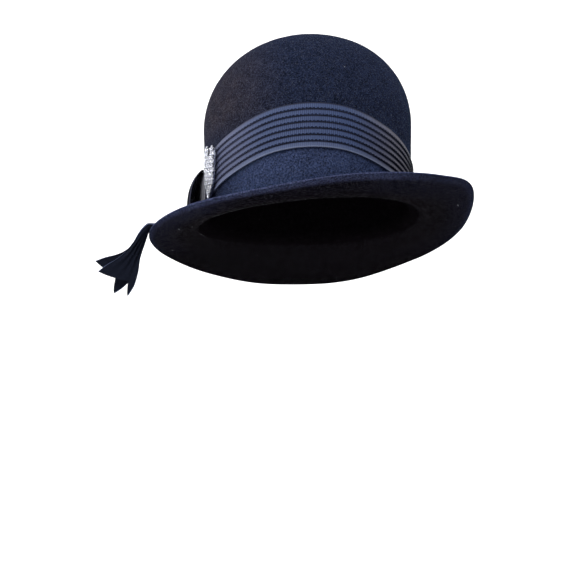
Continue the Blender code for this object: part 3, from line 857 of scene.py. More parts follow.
def mottle_group():
    """A fine, uneven shade over one colour, as loose fibres, thread and foil show."""
    group, start, end = new_group(
        "fine_mottle",
        {"Vector": "vector", "Shade": "colour", "Scale": "value", "Depth": "value"},
        {"Color": "colour", "Height": "value"},
    )
    spots = noise_node(group, start.outputs["Vector"], start.outputs["Scale"], 3.0, 0.6)
    spread = value_node(group, "MULTIPLY_ADD", spots, 2.0, -1.0)
    light = value_node(group, "MULTIPLY_ADD", spread, start.outputs["Depth"], 1.0)
    shaded = group.nodes.new("ShaderNodeVectorMath")
    shaded.operation = "SCALE"
    group.links.new(start.outputs["Shade"], shaded.inputs[0])
    group.links.new(light, shaded.inputs["Scale"])
    group.links.new(shaded.outputs[0], end.inputs["Color"])
    group.links.new(spots, end.inputs["Height"])
    return group


def mottled_material(name, shade, roughness, metallic=0.0, scale=600.0, depth=0.8, relief=0.0):
    """One colour with a fine uneven shade, and a shallow relief where it has one."""
    material, shader = new_material(name, shade, roughness, metallic)
    tree = material.node_tree
    mottle = place_group(
        tree, shared_group("fine_mottle", mottle_group),
        {"Shade": shade, "Scale": scale, "Depth": depth},
        {"Vector": tree.nodes.new("ShaderNodeTexCoord").outputs["Object"]},
    )
    tree.links.new(mottle.outputs["Color"], shader.inputs["Base Color"])
    if relief:
        bump(tree, shader, mottle.outputs["Height"], relief)
    return material, shader


def shared_group(name, build):
    """The group of that name, built the first time that it is asked for."""
    return bpy.data.node_groups.get(name) or build()


def bump(tree, shader, height, distance):
    """Relief from a height, in metres."""
    node = tree.nodes.new("ShaderNodeBump")
    node.inputs["Distance"].default_value = distance
    node.inputs["Strength"].default_value = 1.0
    tree.links.new(height, node.inputs["Height"])
    tree.links.new(node.outputs["Normal"], shader.inputs["Normal"])


def place_group(tree, group, values, links):
    """A shared group in a material, with its own values."""
    node = tree.nodes.new("ShaderNodeGroup")
    node.node_tree = group
    for label, value in values.items():
        node.inputs[label].default_value = (*value, 1.0) if isinstance(value, tuple) else value
    for label, source in links.items():
        tree.links.new(source, node.inputs[label])
    return node


def felt_material(name, wool, painted_light_tone, depth, sheen, front_light_lift=0.0):
    """Wool felt; a painted warm light tints it towards the ribbons, and a painted pool of light lightens it
    low over the brow.
    """
    material, shader = new_material(name, wool, FELT_ROUGHNESS)
    tree = material.node_tree
    place = tree.nodes.new("ShaderNodeTexCoord").outputs["Object"]
    sides = tree.nodes.new("ShaderNodeSeparateXYZ")
    tree.links.new(place, sides.inputs[0])
    # Painted warm light: a brownish tint high on the felt's side towards the ribbons.
    aside = range_node(tree, sides.outputs["X"], *WARM_LIGHT_ACROSS)
    warm_tint = value_node(tree, "MULTIPLY", aside, range_node(tree, sides.outputs["Z"], *WARM_LIGHT_UP))
    # Painted pool of light: the felt low over the brow is made lighter.
    low = range_node(tree, sides.outputs["Z"], *FRONT_LIGHT_DOWN)
    ahead = range_node(tree, sides.outputs["Y"], *FRONT_LIGHT_AHEAD)
    front_lit = value_node(tree, "MULTIPLY_ADD", value_node(tree, "MULTIPLY", low, ahead), front_light_lift, 1.0)
    wool_node = place_group(
        tree, shared_group("brushed_wool", nap_group),
        {"Wool": wool, "Warm Lit Wool": painted_light_tone, "Cloud Scale": CLOUD_SCALE, "Fibre Scale": FIBRE_SCALE},
        {"Vector": place, "Warm Light": warm_tint, "Front Light": front_lit},
    )
    tree.links.new(wool_node.outputs["Color"], shader.inputs["Base Color"])
    shader.inputs["Specular IOR Level"].default_value = 0.0
    shader.inputs["Sheen Weight"].default_value = sheen
    shader.inputs["Sheen Roughness"].default_value = SHEEN_ROUGHNESS
    shader.inputs["Sheen Tint"].default_value = SHEEN_TINT
    bump(tree, shader, wool_node.outputs["Height"], depth)
    return material


def ribbon_material(name, rib, groove, pitch, width, edge_light=0.6, gloss=0.0):
    """Ribbed ribbon; its ribs run across the cloth, whose places the piece carries in metres."""
    material, shader = new_material(name, rib, RIBBON_ROUGHNESS)
    tree = material.node_tree
    cloth = tree.nodes.new("ShaderNodeUVMap")
    cloth.uv_map = "cloth"
    ribs = place_group(
        tree, shared_group("ribbed_ribbon", rib_group),
        {"Rib": rib, "Groove Shade": groove, "Pitch": pitch, "Width": width, "Edge": LIT_EDGE_WIDTH,
         "Edge Light": edge_light},
        {"Cloth": cloth.outputs["UV"]},
    )
    tree.links.new(ribs.outputs["Color"], shader.inputs["Base Color"])
    tree.links.new(ribs.outputs["Roughness"], shader.inputs["Roughness"])
    shader.inputs["Specular IOR Level"].default_value = gloss
    shader.inputs["Sheen Weight"].default_value = RIBBON_SHEEN
    shader.inputs["Sheen Roughness"].default_value = RIBBON_SHEEN_ROUGHNESS
    bump(tree, shader, ribs.outputs["Height"], RIB_RELIEF)
    return material


def plain_colour(value):
    """A colour property as a plain tuple."""
    return tuple(value)


class DressFelt(bpy.types.Operator):
    """Builds the felt crown and brim with their nap, cut edge and lint"""

    bl_idname = "cloche.felt"
    bl_label = "Felt body"

    def execute(self, context):
        hat = Hat(context.scene.cloche_hat)
        colours = context.scene.cloche_colours
        outside, normals = felt_surface(hat)
        build_felt(hat, outside, normals, colours)
        # The loose fibres' lighter colour is painted sheen.
        nap, _ = mottled_material("loose_nap", plain_colour(colours.nap), 1.0)
        lint, _ = mottled_material("pale_lint", plain_colour(colours.lint), 1.0)
        build_nap("felt_nap", outside, normals, NAP_FIBRES, LINT_SPECKS, [nap, lint])
        brim = slice(-BRIM_STEPS, None)
        under = outside[brim] - normals[brim] * hat.form["felt_wall"]
        # The fibres under the brim take the painted-shade copy of the nap's colour.
        shaded_under_nap, _ = mottled_material("shaded_under_nap", plain_colour(colours.shaded_under_nap), 1.0)
        build_nap("shaded_under_nap", under, -normals[brim], NAP_FIBRES // 3, LINT_SPECKS, [shaded_under_nap, lint])
        return {"FINISHED"}


def felt_surface(hat):
    """The outside of the felt as a grid of points, and its normals."""
    angles = [360.0 * step / FELT_AROUND for step in range(FELT_AROUND)]
    columns = [hat.felt_column(degrees) for degrees in angles]
    grid = np.array([[tuple(point) for point in column] for column in columns]).transpose(1, 0, 2)
    normals = surface_normals(grid)
    stray = np.array([
        [noise.noise(Vector(point) * BROAD_STRAY) + SMALL_SHARE * noise.noise(Vector(point) * SMALL_STRAY)
         for point in row]
        for row in grid
    ])
    stray[0] = stray[0].mean()
    rim_rise = np.linspace(0.0, 1.0, BRIM_STEPS) ** 2
    turns = [math.radians(degrees) for degrees in angles]
    waver = np.array([noise.noise(Vector((math.cos(turn), math.sin(turn), 0.3)) * WAVER) for turn in turns])
    grid = grid + normals * (stray * hat.form["unevenness"] * STRAY_SHARE)[..., None]
    grid[-BRIM_STEPS:, :, 2] += rim_rise[:, None] * waver[None, :] * hat.form["unevenness"] * WAVER_SHARE
    return grid, surface_normals(grid)


def surface_normals(grid):
    """The outward direction at each point of a grid that runs round the hat."""
    around = np.roll(grid, -1, axis=1) - np.roll(grid, 1, axis=1)
    down = np.gradient(grid, axis=0)
    normals = np.cross(down, around)
    normals[0] = (0.0, 0.0, 1.0)
    return normals / np.linalg.norm(normals, axis=2, keepdims=True)


def build_felt(hat, outside, normals, colours):
    """One closed skin: outside, half-round cut edge and inside."""
    wall = hat.form["felt_wall"]
    inside = outside - normals * wall
    reach = outside[-1] - outside[-2]
    reach /= np.linalg.norm(reach, axis=1, keepdims=True)
    middle = (outside[-1] + inside[-1]) / 2
    edge = []
    for step in range(1, EDGE_STEPS + 1):
        bend = math.pi * step / (EDGE_STEPS + 1)
        edge.append(middle + normals[-1] * wall / 2 * math.cos(bend) + reach * wall / 3 * math.sin(bend))
    grid = np.concatenate([outside[1:], np.array(edge), inside[:0:-1]])
    rows, columns = grid.shape[:2]
    points = list(grid.reshape(-1, 3)) + [outside[0].mean(axis=0), inside[0].mean(axis=0)]
    faces = grid_faces(rows, columns, round_columns=True)
    outer_top, inner_top = rows * columns, rows * columns + 1
    last = (rows - 1) * columns
    for column in range(columns):
        side = (column + 1) % columns
        faces.append((outer_top, column, side))
        faces.append((inner_top, last + side, last + column))
    # The underside is painted near black for the shade that it lies in; light is painted back near the rim.
    under_shade = plain_colour(colours.felt_shaded_under)
    under = felt_material("wool_felt_shaded_under", under_shade, under_shade, UNDER_RELIEF, 0.0)
    # The cut edge's colour is a painted highlight, laid along the lip underneath as well.
    cut = plain_colour(colours.felt_edge_highlight)
    lighten_rim(under, hat.form, plain_colour(colours.felt_rim), cut)
    materials = [
        felt_material("wool_felt_outside", plain_colour(colours.felt), plain_colour(colours.felt_warm_lit),
                      FELT_RELIEF, FELT_SHEEN, FRONT_LIGHT_LIFT),
        felt_material("wool_felt_lit_edge", cut, cut, EDGE_RELIEF, EDGE_SHEEN),
        under,
    ]
    piece = mesh_piece("felt_crown_and_brim", points, faces, materials)
    outer_rows = len(outside) - 1
    slots = np.zeros(len(faces), dtype=np.int32)
    row_of = np.repeat(np.arange(rows - 1), columns)
    slots[: len(row_of)][row_of >= outer_rows] = 1
    # The lower half of the cut edge takes the underside's painted shade.
    slots[: len(row_of)][row_of >= outer_rows + EDGE_STEPS // 2 + 1] = 2
    slots[len(row_of) + 1 :: 2] = 2
    piece.data.polygons.foreach_set("material_index", slots)
    face_outward(piece)
    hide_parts("felt_body")
    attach(piece, "root")


def lighten_rim(material, form, rim, lip):
    """The underside is navy near the raised rim, painted light where light reaches it, and falls to its
    painted black shade towards the head and the back; along the lip it takes the cut edge's painted
    highlight.
    """
    tree = material.node_tree
    wool = next(node for node in tree.nodes if node.type == "GROUP")
    place = tree.nodes.new("ShaderNodeTexCoord").outputs["Object"]
    sides = tree.nodes.new("ShaderNodeSeparateXYZ")
    tree.links.new(place, sides.inputs[0])
    flat = place
    for operation, values in (
        ("SUBTRACT", (form["brim_shift_left"], form["brim_shift_back"], 0.0)),
        ("DIVIDE", (form["brim_width"] / 2, form["brim_length"] / 2, 1.0)),
        ("MULTIPLY", (1.0, 1.0, 0.0)),
        ("LENGTH", None),
    ):
        node = tree.nodes.new("ShaderNodeVectorMath")
        node.operation = operation
        tree.links.new(flat, node.inputs[0])
        if values:
            node.inputs[1].default_value = values
        flat = node.outputs["Value" if operation == "LENGTH" else "Vector"]
    across = sides.outputs["X"]
    raised = range_node(tree, sides.outputs["Z"], *RAISED_RIM_UP)
    by_brooch = range_node(tree, across, *RIM_BY_BROOCH, RIM_LIGHT_FRONT, RIM_LIGHT_BROOCH)
    by_far_side = range_node(tree, across, *RIM_FAR_SIDE, RIM_LIGHT_FRONT, RIM_LIGHT_FAR)
    lit = value_node(tree, "MULTIPLY", raised, value_node(tree, "MAXIMUM", by_brooch, by_far_side))
    near_rim = value_node(tree, "MULTIPLY", lit, range_node(tree, flat, *RIM_REACH))
    lip_light = range_node(tree, across, *LIP_FAR_SIDE, LIP_LIGHT, LIP_LIGHT_FAR)
    lip_lit = value_node(tree, "MULTIPLY", raised, lip_light)
    near_lip = value_node(tree, "MULTIPLY", lip_lit, range_node(tree, flat, *LIP_REACH))
    under_shade = tuple(wool.inputs["Wool"].default_value[:3])
    tinted = mix_colour(tree, near_lip, mix_colour(tree, near_rim, under_shade, rim), lip)
    tree.links.new(tinted, wool.inputs["Wool"])


def build_nap(name, outside, normals, fibres, specks, materials):
    """Short loose fibres over one face of the felt, and a few specks of lint."""
    chance = np.random.RandomState(SEED)
    columns = outside.shape[1]
    lengths = np.linalg.norm(np.diff(outside, axis=0), axis=2)
    widths = np.linalg.norm(np.roll(outside, -1, axis=1) - outside, axis=2)[1:]
    areas = lengths * widths
    weights = areas.ravel() / areas.sum()
    cells = chance.choice(len(weights), fibres + specks, p=weights)
    row, column = cells // columns, cells % columns
    side = (column + 1) % columns
    down, over = chance.rand(2, len(cells), 1)
    roots = ((outside[row, column] * (1 - down) + outside[row + 1, column] * down) * (1 - over)
             + (outside[row, side] * (1 - down) + outside[row + 1, side] * down) * over)
    lift = normals[row, column]
    lay = chance.normal(size=(len(cells), 3))
    lay -= lift * (lay * lift).sum(axis=1, keepdims=True)
    lay /= np.linalg.norm(lay, axis=1, keepdims=True)
    longs = chance.uniform(*FIBRE_LENGTHS, (len(cells), 1))
    wides = np.full((len(cells), 1), FIBRE_HALF_WIDTH)
    longs[fibres:] = chance.uniform(*LINT_LENGTHS, (specks, 1))
    wides[fibres:] = LINT_HALF_WIDTH
    tips = roots + lift * longs * FIBRE_STANDS + lay * longs * FIBRE_LIES
    beside = np.cross(lift, lay) * wides
    points = np.stack([roots - beside, roots + beside, tips], axis=1).reshape(-1, 3)
    faces = [(3 * index, 3 * index + 1, 3 * index + 2) for index in range(len(cells))]
    piece = mesh_piece(name, points, faces, materials, smooth=False)
    slots = np.zeros(len(faces), dtype=np.int32)
    slots[fibres:] = 1
    piece.data.polygons.foreach_set("material_index", slots)
    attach(piece, "root")


class DressBand(bpy.types.Operator):
    """Builds the tucked ribbon band and the stitches that hold its tucks"""

    bl_idname = "cloche.band"
    bl_label = "Tucked band"

    def execute(self, context):
        hat = Hat(context.scene.cloche_hat)
        band = context.scene.cloche_band
        colours = context.scene.cloche_colours
        build_band(hat, band, colours)
        build_stitches(hat, band, colours)
        return {"FINISHED"}


def band_edges(hat, band, degrees):
    """The band's upper edge and its height at one angle."""
    section = row_around(BAND_SECTIONS, degrees)
    high = band.height * section.height
    lower = hat.foot_height(degrees) + hat.form["brim_turn"] + band.seat_gap + band.lift * section.lower
    return lower + high, high


def band_column(hat, band, degrees):
    """The band's cut at one angle, down its tucks and up its smooth back, with places on the cloth."""
    upper, high = band_edges(hat, band, degrees)
    tuck_height = high / band.rows
    points, heights = [], []
    for tuck in range(band.rows):
        for point in TUCK_PROFILE:
            drop = tuck_height * (tuck + point.drop)
            lip = band.edge + (band.tuck - band.edge) * point.lip
            points.append(hat.on_crown(degrees, upper - min(drop, high), band.seat_gap + lip))
            heights.append((tuck + point.drop) / band.rows)
    for part in (1.0, 0.5, 0.0):
        points.append(hat.on_crown(degrees, upper - high * part, band.seat_gap))
        heights.append(part)
    return points, heights


def build_band(hat, band, colours):
    """The tucked band as one closed ring."""
    points, places = [], []
    around = 0.0
    before = None
    for step in range(BAND_AROUND + 1):
        degrees = 360.0 * step / BAND_AROUND
        column, heights = band_column(hat, band, degrees)
        if before is not None:
            around += (column[0] - before).length
        before = column[0]
        points += column
        places += [(around, height * band.height) for height in heights]
    size = len(column)
    faces = grid_faces(BAND_AROUND + 1, size, round_columns=True)
    material = ribbon_material("band_ribbon", plain_colour(colours.band), plain_colour(colours.band_groove_shade),
                               BAND_RIB_PITCH, BAND_CLOTH_WIDTH, gloss=BAND_GLOSS)
    shade_tucks(material, band, plain_colour(colours.band_shadow), plain_colour(colours.band_brown),
                plain_colour(colours.band_lit_side), plain_colour(colours.band_edge))
    piece = mesh_piece("tucked_ribbon_band", points, faces, [material], places)
    weld(piece)
    piece.data.set_sharp_from_angle(angle=math.radians(BAND_SHARP))
    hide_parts("tucked_band")
    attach(piece, "root")


def shade_tucks(material, band, shadow, brown, lit_side, pale):
    """Paints shadow on the top of each tuck, under the lip above, tints the band brown towards the wearer's
    left, paints light on it towards the brooch and lightens its lowest edge.
    """
    tree = material.node_tree
    shader = tree.nodes["Principled BSDF"]
    cloth = tree.nodes.new("ShaderNodeUVMap")
    cloth.uv_map = "cloth"
    place = tree.nodes.new("ShaderNodeSeparateXYZ")
    tree.links.new(cloth.outputs["UV"], place.inputs[0])
    tucks_down = value_node(tree, "MULTIPLY", place.outputs["Y"], band.rows / band.height)
    row = value_node(tree, "FRACT", tucks_down)
    lit = range_node(tree, row, *TUCK_SHADOW)
    ribs = shader.inputs["Base Color"].links[0].from_socket
    sides = tree.nodes.new("ShaderNodeSeparateXYZ")
    tree.links.new(tree.nodes.new("ShaderNodeTexCoord").outputs["Object"], sides.inputs[0])
    to_left = range_node(tree, sides.outputs["X"], *BAND_TO_LEFT)
    to_brooch = range_node(tree, sides.outputs["X"], *BAND_TO_BROOCH)
    warm_tint = mix_colour(tree, value_node(tree, "MULTIPLY", to_left, BROWN_SHARE), ribs, brown)
    tinted = mix_colour(tree, value_node(tree, "MULTIPLY", to_brooch, LIT_SIDE_SHARE), warm_tint, lit_side)
    # The painted shadow, lifted by the painted light towards the brooch.
    dim = mix_colour(tree, value_node(tree, "MULTIPLY", to_brooch, LIT_SIDE_SHADOW), shadow, lit_side)
    shaded = mix_colour(tree, lit, dim, tinted)
    strips = []
    for strip, strength in ((LAST_TUCK, LAST_TUCK_SHARE), (LOWEST_EDGE, LOWEST_SHARE)):
        start, end = (band.height * part for part in strip)
        strips.append(range_node(tree, place.outputs["Y"], start, end, 0.0, strength))
    lightened = value_node(tree, "ADD", *strips)
    tree.links.new(mix_colour(tree, lightened, shaded, pale), shader.inputs["Base Color"])


def weld(piece):
    """Joins points that meet and turns the faces outwards."""
    work = bmesh.new()
    work.from_mesh(piece.data)
    bmesh.ops.remove_doubles(work, verts=work.verts, dist=WELD_GAP)
    bmesh.ops.recalc_face_normals(work, faces=work.faces)
    work.to_mesh(piece.data)
    work.free()


def build_stitches(hat, band, colours):
    """Running stitches along the lip of each tuck but the lowest."""
    around = math.pi * (hat.form["crown_width"] + hat.form["crown_depth"]) / 2
    stitches = int(around / band.stitch_pitch)
    half = band.stitch_length / around * 180.0
    points, faces = [], []
    for tuck in range(band.rows - 1):
        for stitch in range(stitches):
            middle = 360.0 * (stitch + 0.5 * (tuck % 2)) / stitches
            ends = [stitch_end(hat, band, tuck, middle + side * half) for side in (-1, 1)]
            add_thread(points, faces, *ends, hat.outward(middle), band.thread / 2)
    material, shader = mottled_material("sewing_thread", plain_colour(colours.stitch), 0.8,
                                        scale=2500.0, relief=0.00008)
    shader.inputs["Specular IOR Level"].default_value = 0.0
    piece = mesh_piece("band_stitches", points, faces, [material])
    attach(piece, "root")


def stitch_end(hat, band, tuck, degrees):
    """Where a stitch goes into its tuck at one angle."""
    upper, high = band_edges(hat, band, degrees)
    height = upper - high * (tuck + STITCH_DROP) / band.rows
    lip = band.edge + (band.tuck - band.edge) * STITCH_LIP
    return hat.on_crown(degrees, height, band.seat_gap + lip + band.thread * 0.2)


def add_thread(points, faces, start, end, outward, radius):
    """One short stitch: a tube with drawn-in ends."""
    along = (end - start).normalized()
    beside = along.cross(outward).normalized()
    first = len(points)
    for place, wide in THREAD_RINGS:
        middle = start.lerp(end, place)
        for side in range(THREAD_SIDES):
            turn = math.tau * side / THREAD_SIDES
            points.append(middle + (beside * math.cos(turn) + outward * math.sin(turn)) * radius * wide)
    last = first + THREAD_SIDES * (len(THREAD_RINGS) - 1)
    faces.append(tuple(first + side for side in reversed(range(THREAD_SIDES))))
    faces.append(tuple(last + side for side in range(THREAD_SIDES)))
    for ring in range(first, last, THREAD_SIDES):
        for side in range(THREAD_SIDES):
            after = (side + 1) % THREAD_SIDES
            faces.append((ring + side, ring + after, ring + THREAD_SIDES + after, ring + THREAD_SIDES + side))


class DressLoop(bpy.types.Operator):
    """Builds the ribbon loop beside the brooch"""

    bl_idname = "cloche.loop"
    bl_label = "Ribbon loop"

    def execute(self, context):
        build_loop(Hat(context.scene.cloche_hat), context.scene.cloche_band, context.scene.cloche_ribbon,
                   context.scene.cloche_colours)
        return {"FINISHED"}


def ribbon_seat(band):
    """How far off the crown the ribbon lies that rests on the band."""
    return 2 * band.seat_gap + band.tuck


def build_loop(hat, band, ribbon, colours):
    """The loop: a ribbon folded round, closed behind its opening."""
    width_angle = math.degrees(ribbon.width / (hat.form["crown_depth"] / 2))
    points, places = [], []
    walked = 0.0
    before = None
    for step in range(LOOP_STEPS + 1):
        place = step * len(LOOP_POINTS) / LOOP_STEPS
        point = row_between(LOOP_POINTS, place, closed=True)
        near = row_between(LOOP_POINTS, place + LOOP_NEAR, closed=True)
        back = row_between(LOOP_POINTS, place - LOOP_NEAR, closed=True)
        along_out = (near.out - back.out) * ribbon.loop_bulge
        along_up = (near.height - back.height) * ribbon.loop_height
        size = math.hypot(along_out, along_up)
        skin_out, skin_up = along_up / size, -along_out / size
        spot = Vector((point.out * ribbon.loop_bulge, point.height * ribbon.loop_height))
        walked += (spot - before).length if before else 0.0
        before = spot
        for side in (-0.5, 0.5):
            for column in range(LOOP_COLUMNS):
                part = column / (LOOP_COLUMNS - 1)
                part = part if side < 0 else 1 - part
                degrees = math.degrees(ribbon.loop_angle) - width_angle * part
                bulge = ribbon.loop_bulge + ribbon.loop_flare * part
                out = ribbon_seat(band) + ribbon.solid_wall / 2 + bulge * (point.out + point.lift * part)
                height = ribbon.loop_foot + ribbon.loop_height * point.height
                shift = side * ribbon.wall
                points.append(hat.on_crown(degrees, height + skin_up * shift, out + skin_out * shift))
                places.append((walked, part * ribbon.width))
    faces = grid_faces(LOOP_STEPS + 1, 2 * LOOP_COLUMNS, round_columns=True)
    slots = []
    for row in range(LOOP_STEPS):
        # The loop's layer on the band takes the painted light.
        slots += [1 if row >= LOOP_STEPS * INNER_LAYER else 0] * (2 * LOOP_COLUMNS)
    slots += add_closing(hat, band, ribbon, points, places, faces)
    groove = plain_colour(colours.ribbon_groove_shade)
    materials = [
        ribbon_material("loop_ribbon", plain_colour(colours.loop), groove, RIBBON_RIB_PITCH, ribbon.width,
                        LOOP_EDGE_LIGHT),
        ribbon_material("loop_lit_inner_ribbon", plain_colour(colours.loop_lit_inner), groove, RIBBON_RIB_PITCH,
                        ribbon.width),
    ]
    piece = mesh_piece("folded_ribbon_loop", points, faces, materials, places)
    piece.data.polygons.foreach_set("material_index", slots)
    weld(piece)
    piece.data.set_sharp_from_angle(angle=math.radians(RIBBON_SHARP))
    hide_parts("ribbon_loop")
    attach(piece, "root")


def add_closing(hat, band, ribbon, points, places, faces):
    """The ribbon that draws the loop together behind its opening, in soft pleats."""
    first = len(points)
    width_angle = math.degrees(ribbon.width / (hat.form["crown_depth"] / 2))
    places_round = [step * len(LOOP_POINTS) / LOOP_STEPS for step in range(LOOP_STEPS)]
    rim = [row_between(LOOP_POINTS, place, closed=True) for place in places_round]
    middle_out = sum(point.out for point in rim) / LOOP_STEPS
    middle_height = sum(point.height for point in rim) / LOOP_STEPS
    for face in (-1, 1):
        for ring in range(CLOSING_RINGS):
            reach = 1 - ring / CLOSING_RINGS
            for step, point in enumerate(rim):
                wave = math.sin(math.tau * PLEATS_ROUND * step / LOOP_STEPS)
                pleat = PLEAT_DEPTH * reach * (1 - reach) * 4 * wave
                drawn = ribbon.closing + CLOSING_DEPTH * (1 - reach**2)
                part = drawn + pleat + face * ribbon.wall / ribbon.width / 2
                out = middle_out + (point.out + point.lift * part - middle_out) * reach
                height = middle_height + (point.height - middle_height) * reach
                bulge = ribbon.loop_bulge + ribbon.loop_flare * part
                points.append(hat.on_crown(
                    math.degrees(ribbon.loop_angle) - width_angle * part,
                    ribbon.loop_foot + ribbon.loop_height * height,
                    ribbon_seat(band) + ribbon.solid_wall / 2 + bulge * out,
                ))
                places.append((ribbon.width * reach, ribbon.width / 2))
    skin = CLOSING_RINGS * LOOP_STEPS
    slots = []
    for start in (first, first + skin):
        for face in grid_faces(CLOSING_RINGS, LOOP_STEPS, round_columns=True):
            faces.append(tuple(start + corner for corner in face))
            reach = 1 - face[0] // LOOP_STEPS / CLOSING_RINGS
            out = middle_out + (rim[face[0] % LOOP_STEPS].out - middle_out) * reach
            # Closing faces near the band take the painted light.
            slots.append(1 if out < LIT_INNER_REACH else 0)
        faces.append(tuple(start + skin - LOOP_STEPS + step for step in range(LOOP_STEPS)))
        slots.append(0)
    for step in range(LOOP_STEPS):
        after = (step + 1) % LOOP_STEPS
        faces.append((first + step, first + after, first + skin + after, first + skin + step))
        slots.append(0)
    return slots


class DressRibbonEnds(bpy.types.Operator):
    """Builds the two gathered ribbon ends that fall over the rim"""

    bl_idname = "cloche.ribbon_ends"
    bl_label = "Ribbon ends"

    def execute(self, context):
        hat = Hat(context.scene.cloche_hat)
        ribbon = context.scene.cloche_ribbon
        colours = context.scene.cloche_colours
        groove = plain_colour(colours.ribbon_groove_shade)
        material = ribbon_material("ribbon_end_ribbon", plain_colour(colours.tails), groove,
                                   RIBBON_RIB_PITCH, ribbon.width, END_EDGE_LIGHT)
        front = RibbonEnd(hat, ribbon, FRONT_TAIL, ribbon.front_notch, ribbon.front_notch_depth)
        rear = RibbonEnd(hat, ribbon, REAR_TAIL, ribbon.rear_notch, ribbon.rear_notch_depth)
        build_tail(front, "front_ribbon_end", "ribbon_tail_front", material)
        build_tail(rear, "rear_ribbon_end", "ribbon_tail_rear", material)
        return {"FINISHED"}


class RibbonEnd:
    """The path and face of one ribbon end over the brim."""

    def __init__(self, hat, ribbon, rows, notch, depth):
        self.hat, self.ribbon, self.rows, self.notch, self.depth = hat, ribbon, rows, notch, depth
        centres = [self.centre(row) for row in rows]
        self.length = sum((after - before).length for before, after in zip(centres, centres[1:]))

    def degrees(self, section):
        """The angle round the hat of one section."""
        aside = section.aside * self.ribbon.width / (self.hat.form["brim_width"] / 2)
        return math.degrees(self.ribbon.tail_angle - aside)

    def centre(self, section):
        """The middle of one section."""
        ribbon = self.ribbon
        degrees = self.degrees(section)
        thick = ribbon.solid_wall * (1 + ribbon.gather_thickening * section.ripple)
        seat = ribbon.tail_seat + thick / 2 + ribbon.tail_ripple * section.ripple
        point = self.hat.on_brim(degrees, section.brim) + UP * seat
        reach = self.hat.outward(degrees) * ribbon.tail_reach * section.reach
        return point + reach - UP * ribbon.tail_fall * section.fall

    def side(self, section):
        """The direction along the rim at one section."""
        degrees = self.degrees(section)
        ahead = self.hat.on_brim(degrees - 1, section.brim)
        return (ahead - self.hat.on_brim(degrees + 1, section.brim)).normalized()

    def point(self, along, across, face):
        """A point along and across the ribbon end, on its face (1) or back (-1)."""
        ribbon, rows = self.ribbon, self.rows
        beside = across / self.notch if across < self.notch else (1 - across) / (1 - self.notch)
        pull = max(0.0, (along - ribbon.notch_start) / (1 - ribbon.notch_start))
        last = len(rows) - 1
        place = (along - self.depth / self.length * beside * pull) * last
        section = row_between(rows, place, closed=False)
        ahead = self.centre(row_between(rows, min(place + NEAR_STEP, last), closed=False))
        behind = self.centre(row_between(rows, max(place - NEAR_STEP, 0.0), closed=False))
        along_axis = (ahead - behind).normalized()
        side = self.side(section)
        side = (side - along_axis * side.dot(along_axis)).normalized()
        width_axis = Matrix.Rotation(math.radians(section.turn), 3, along_axis) @ side
        depth_axis = width_axis.cross(along_axis)
        offset = self.fold(section, across) + face * ribbon.wall / 2
        sideways = ribbon.width * section.spread * (across - 0.5)
        return self.centre(section) + width_axis * sideways + depth_axis * offset

    def fold(self, section, across):
        """How far the cloth stands off its middle: pleats that take up the hidden width, and waves."""
        ribbon = self.ribbon
        shown = min(section.spread, 1.0)
        pleat = ribbon.width * shown / ribbon.pleats
        steepness = PLEAT_STEEPNESS * math.sqrt(max(1.0 / shown**2 - 1.0, 0.0))
        depth = pleat * steepness / math.tau * (1.0 - SPREAD_FLATTENS * shown)
        cup = ribbon.curl * shown**2 * (4 * across * (1 - across) - 0.5)
        return depth * math.sin(math.tau * ribbon.pleats * across + PLEAT_START) + cup


def build_tail(end, name, node, material):
    """One ribbon end with a face, a back and closed edges."""
    ribbon = end.ribbon
    points, places = [], []
    for step in range(TAIL_STEPS + 1):
        along = step / TAIL_STEPS
        for face in (1, -1):
            for column in range(TAIL_COLUMNS + 1):
                across = column / TAIL_COLUMNS
                across = across if face > 0 else 1 - across
                points.append(end.point(along, across, face))
                places.append((along * end.length, across * ribbon.width))
    size = 2 * (TAIL_COLUMNS + 1)
    faces = grid_faces(TAIL_STEPS + 1, size, round_columns=True)
    for first in (0, TAIL_STEPS * size):
        for column in range(TAIL_COLUMNS):
            other = first + size - 1 - column
            faces.append((first + column, first + column + 1, other - 1, other))
    piece = mesh_piece(name, points, faces, [material], places)
    weld(piece)
    piece.data.set_sharp_from_angle(angle=math.radians(RIBBON_SHARP))
    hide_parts(node)
    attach(piece, "root")


class DressBrooch(bpy.types.Operator):
    """Builds the brooch: setting, prongs, cut stones and pin"""

    bl_idname = "cloche.brooch"
    bl_label = "Brooch"

    def execute(self, context):
        hat = Hat(context.scene.cloche_hat)
        brooch = context.scene.cloche_brooch
        colours = context.scene.cloche_colours
        place = brooch_place(hat, context.scene.cloche_band, brooch)
        setting, shader = new_material("silver_setting", plain_colour(colours.setting), 0.18, 1.0)
        add_tarnish(setting, shader)
        # The recessed plate floor between the stones is painted in shade.
        shaded_recess, dull = new_material("plate_in_painted_shade", plain_colour(colours.recess_shade), 0.5, 1.0)
        add_tarnish(shaded_recess, dull)
        build_setting(brooch, place, setting, shaded_recess)
        build_stones(brooch, place, [plain_colour(colours.foil), plain_colour(colours.foil_dim)])
        return {"FINISHED"}


def brooch_place(hat, band, brooch):
    """The brooch's place on the band, with its back to the crown."""
    degrees = math.degrees(brooch.angle)
    up = (hat.on_crown(degrees, hat.shoulder) - hat.on_crown(degrees, 0.0)).normalized()
    across = up.cross(hat.outward(degrees)).normalized()
    out = across.cross(up)
    stand_off = ribbon_seat(band) + 2 * brooch.pin_radius - brooch.pin_sink
    spot = hat.on_crown(degrees, brooch.middle) + out * stand_off
    axes = Matrix((across, up, out)).transposed() @ Matrix.Rotation(brooch.tilt, 3, "Z")
    return Matrix.Translation(spot) @ axes.to_4x4()


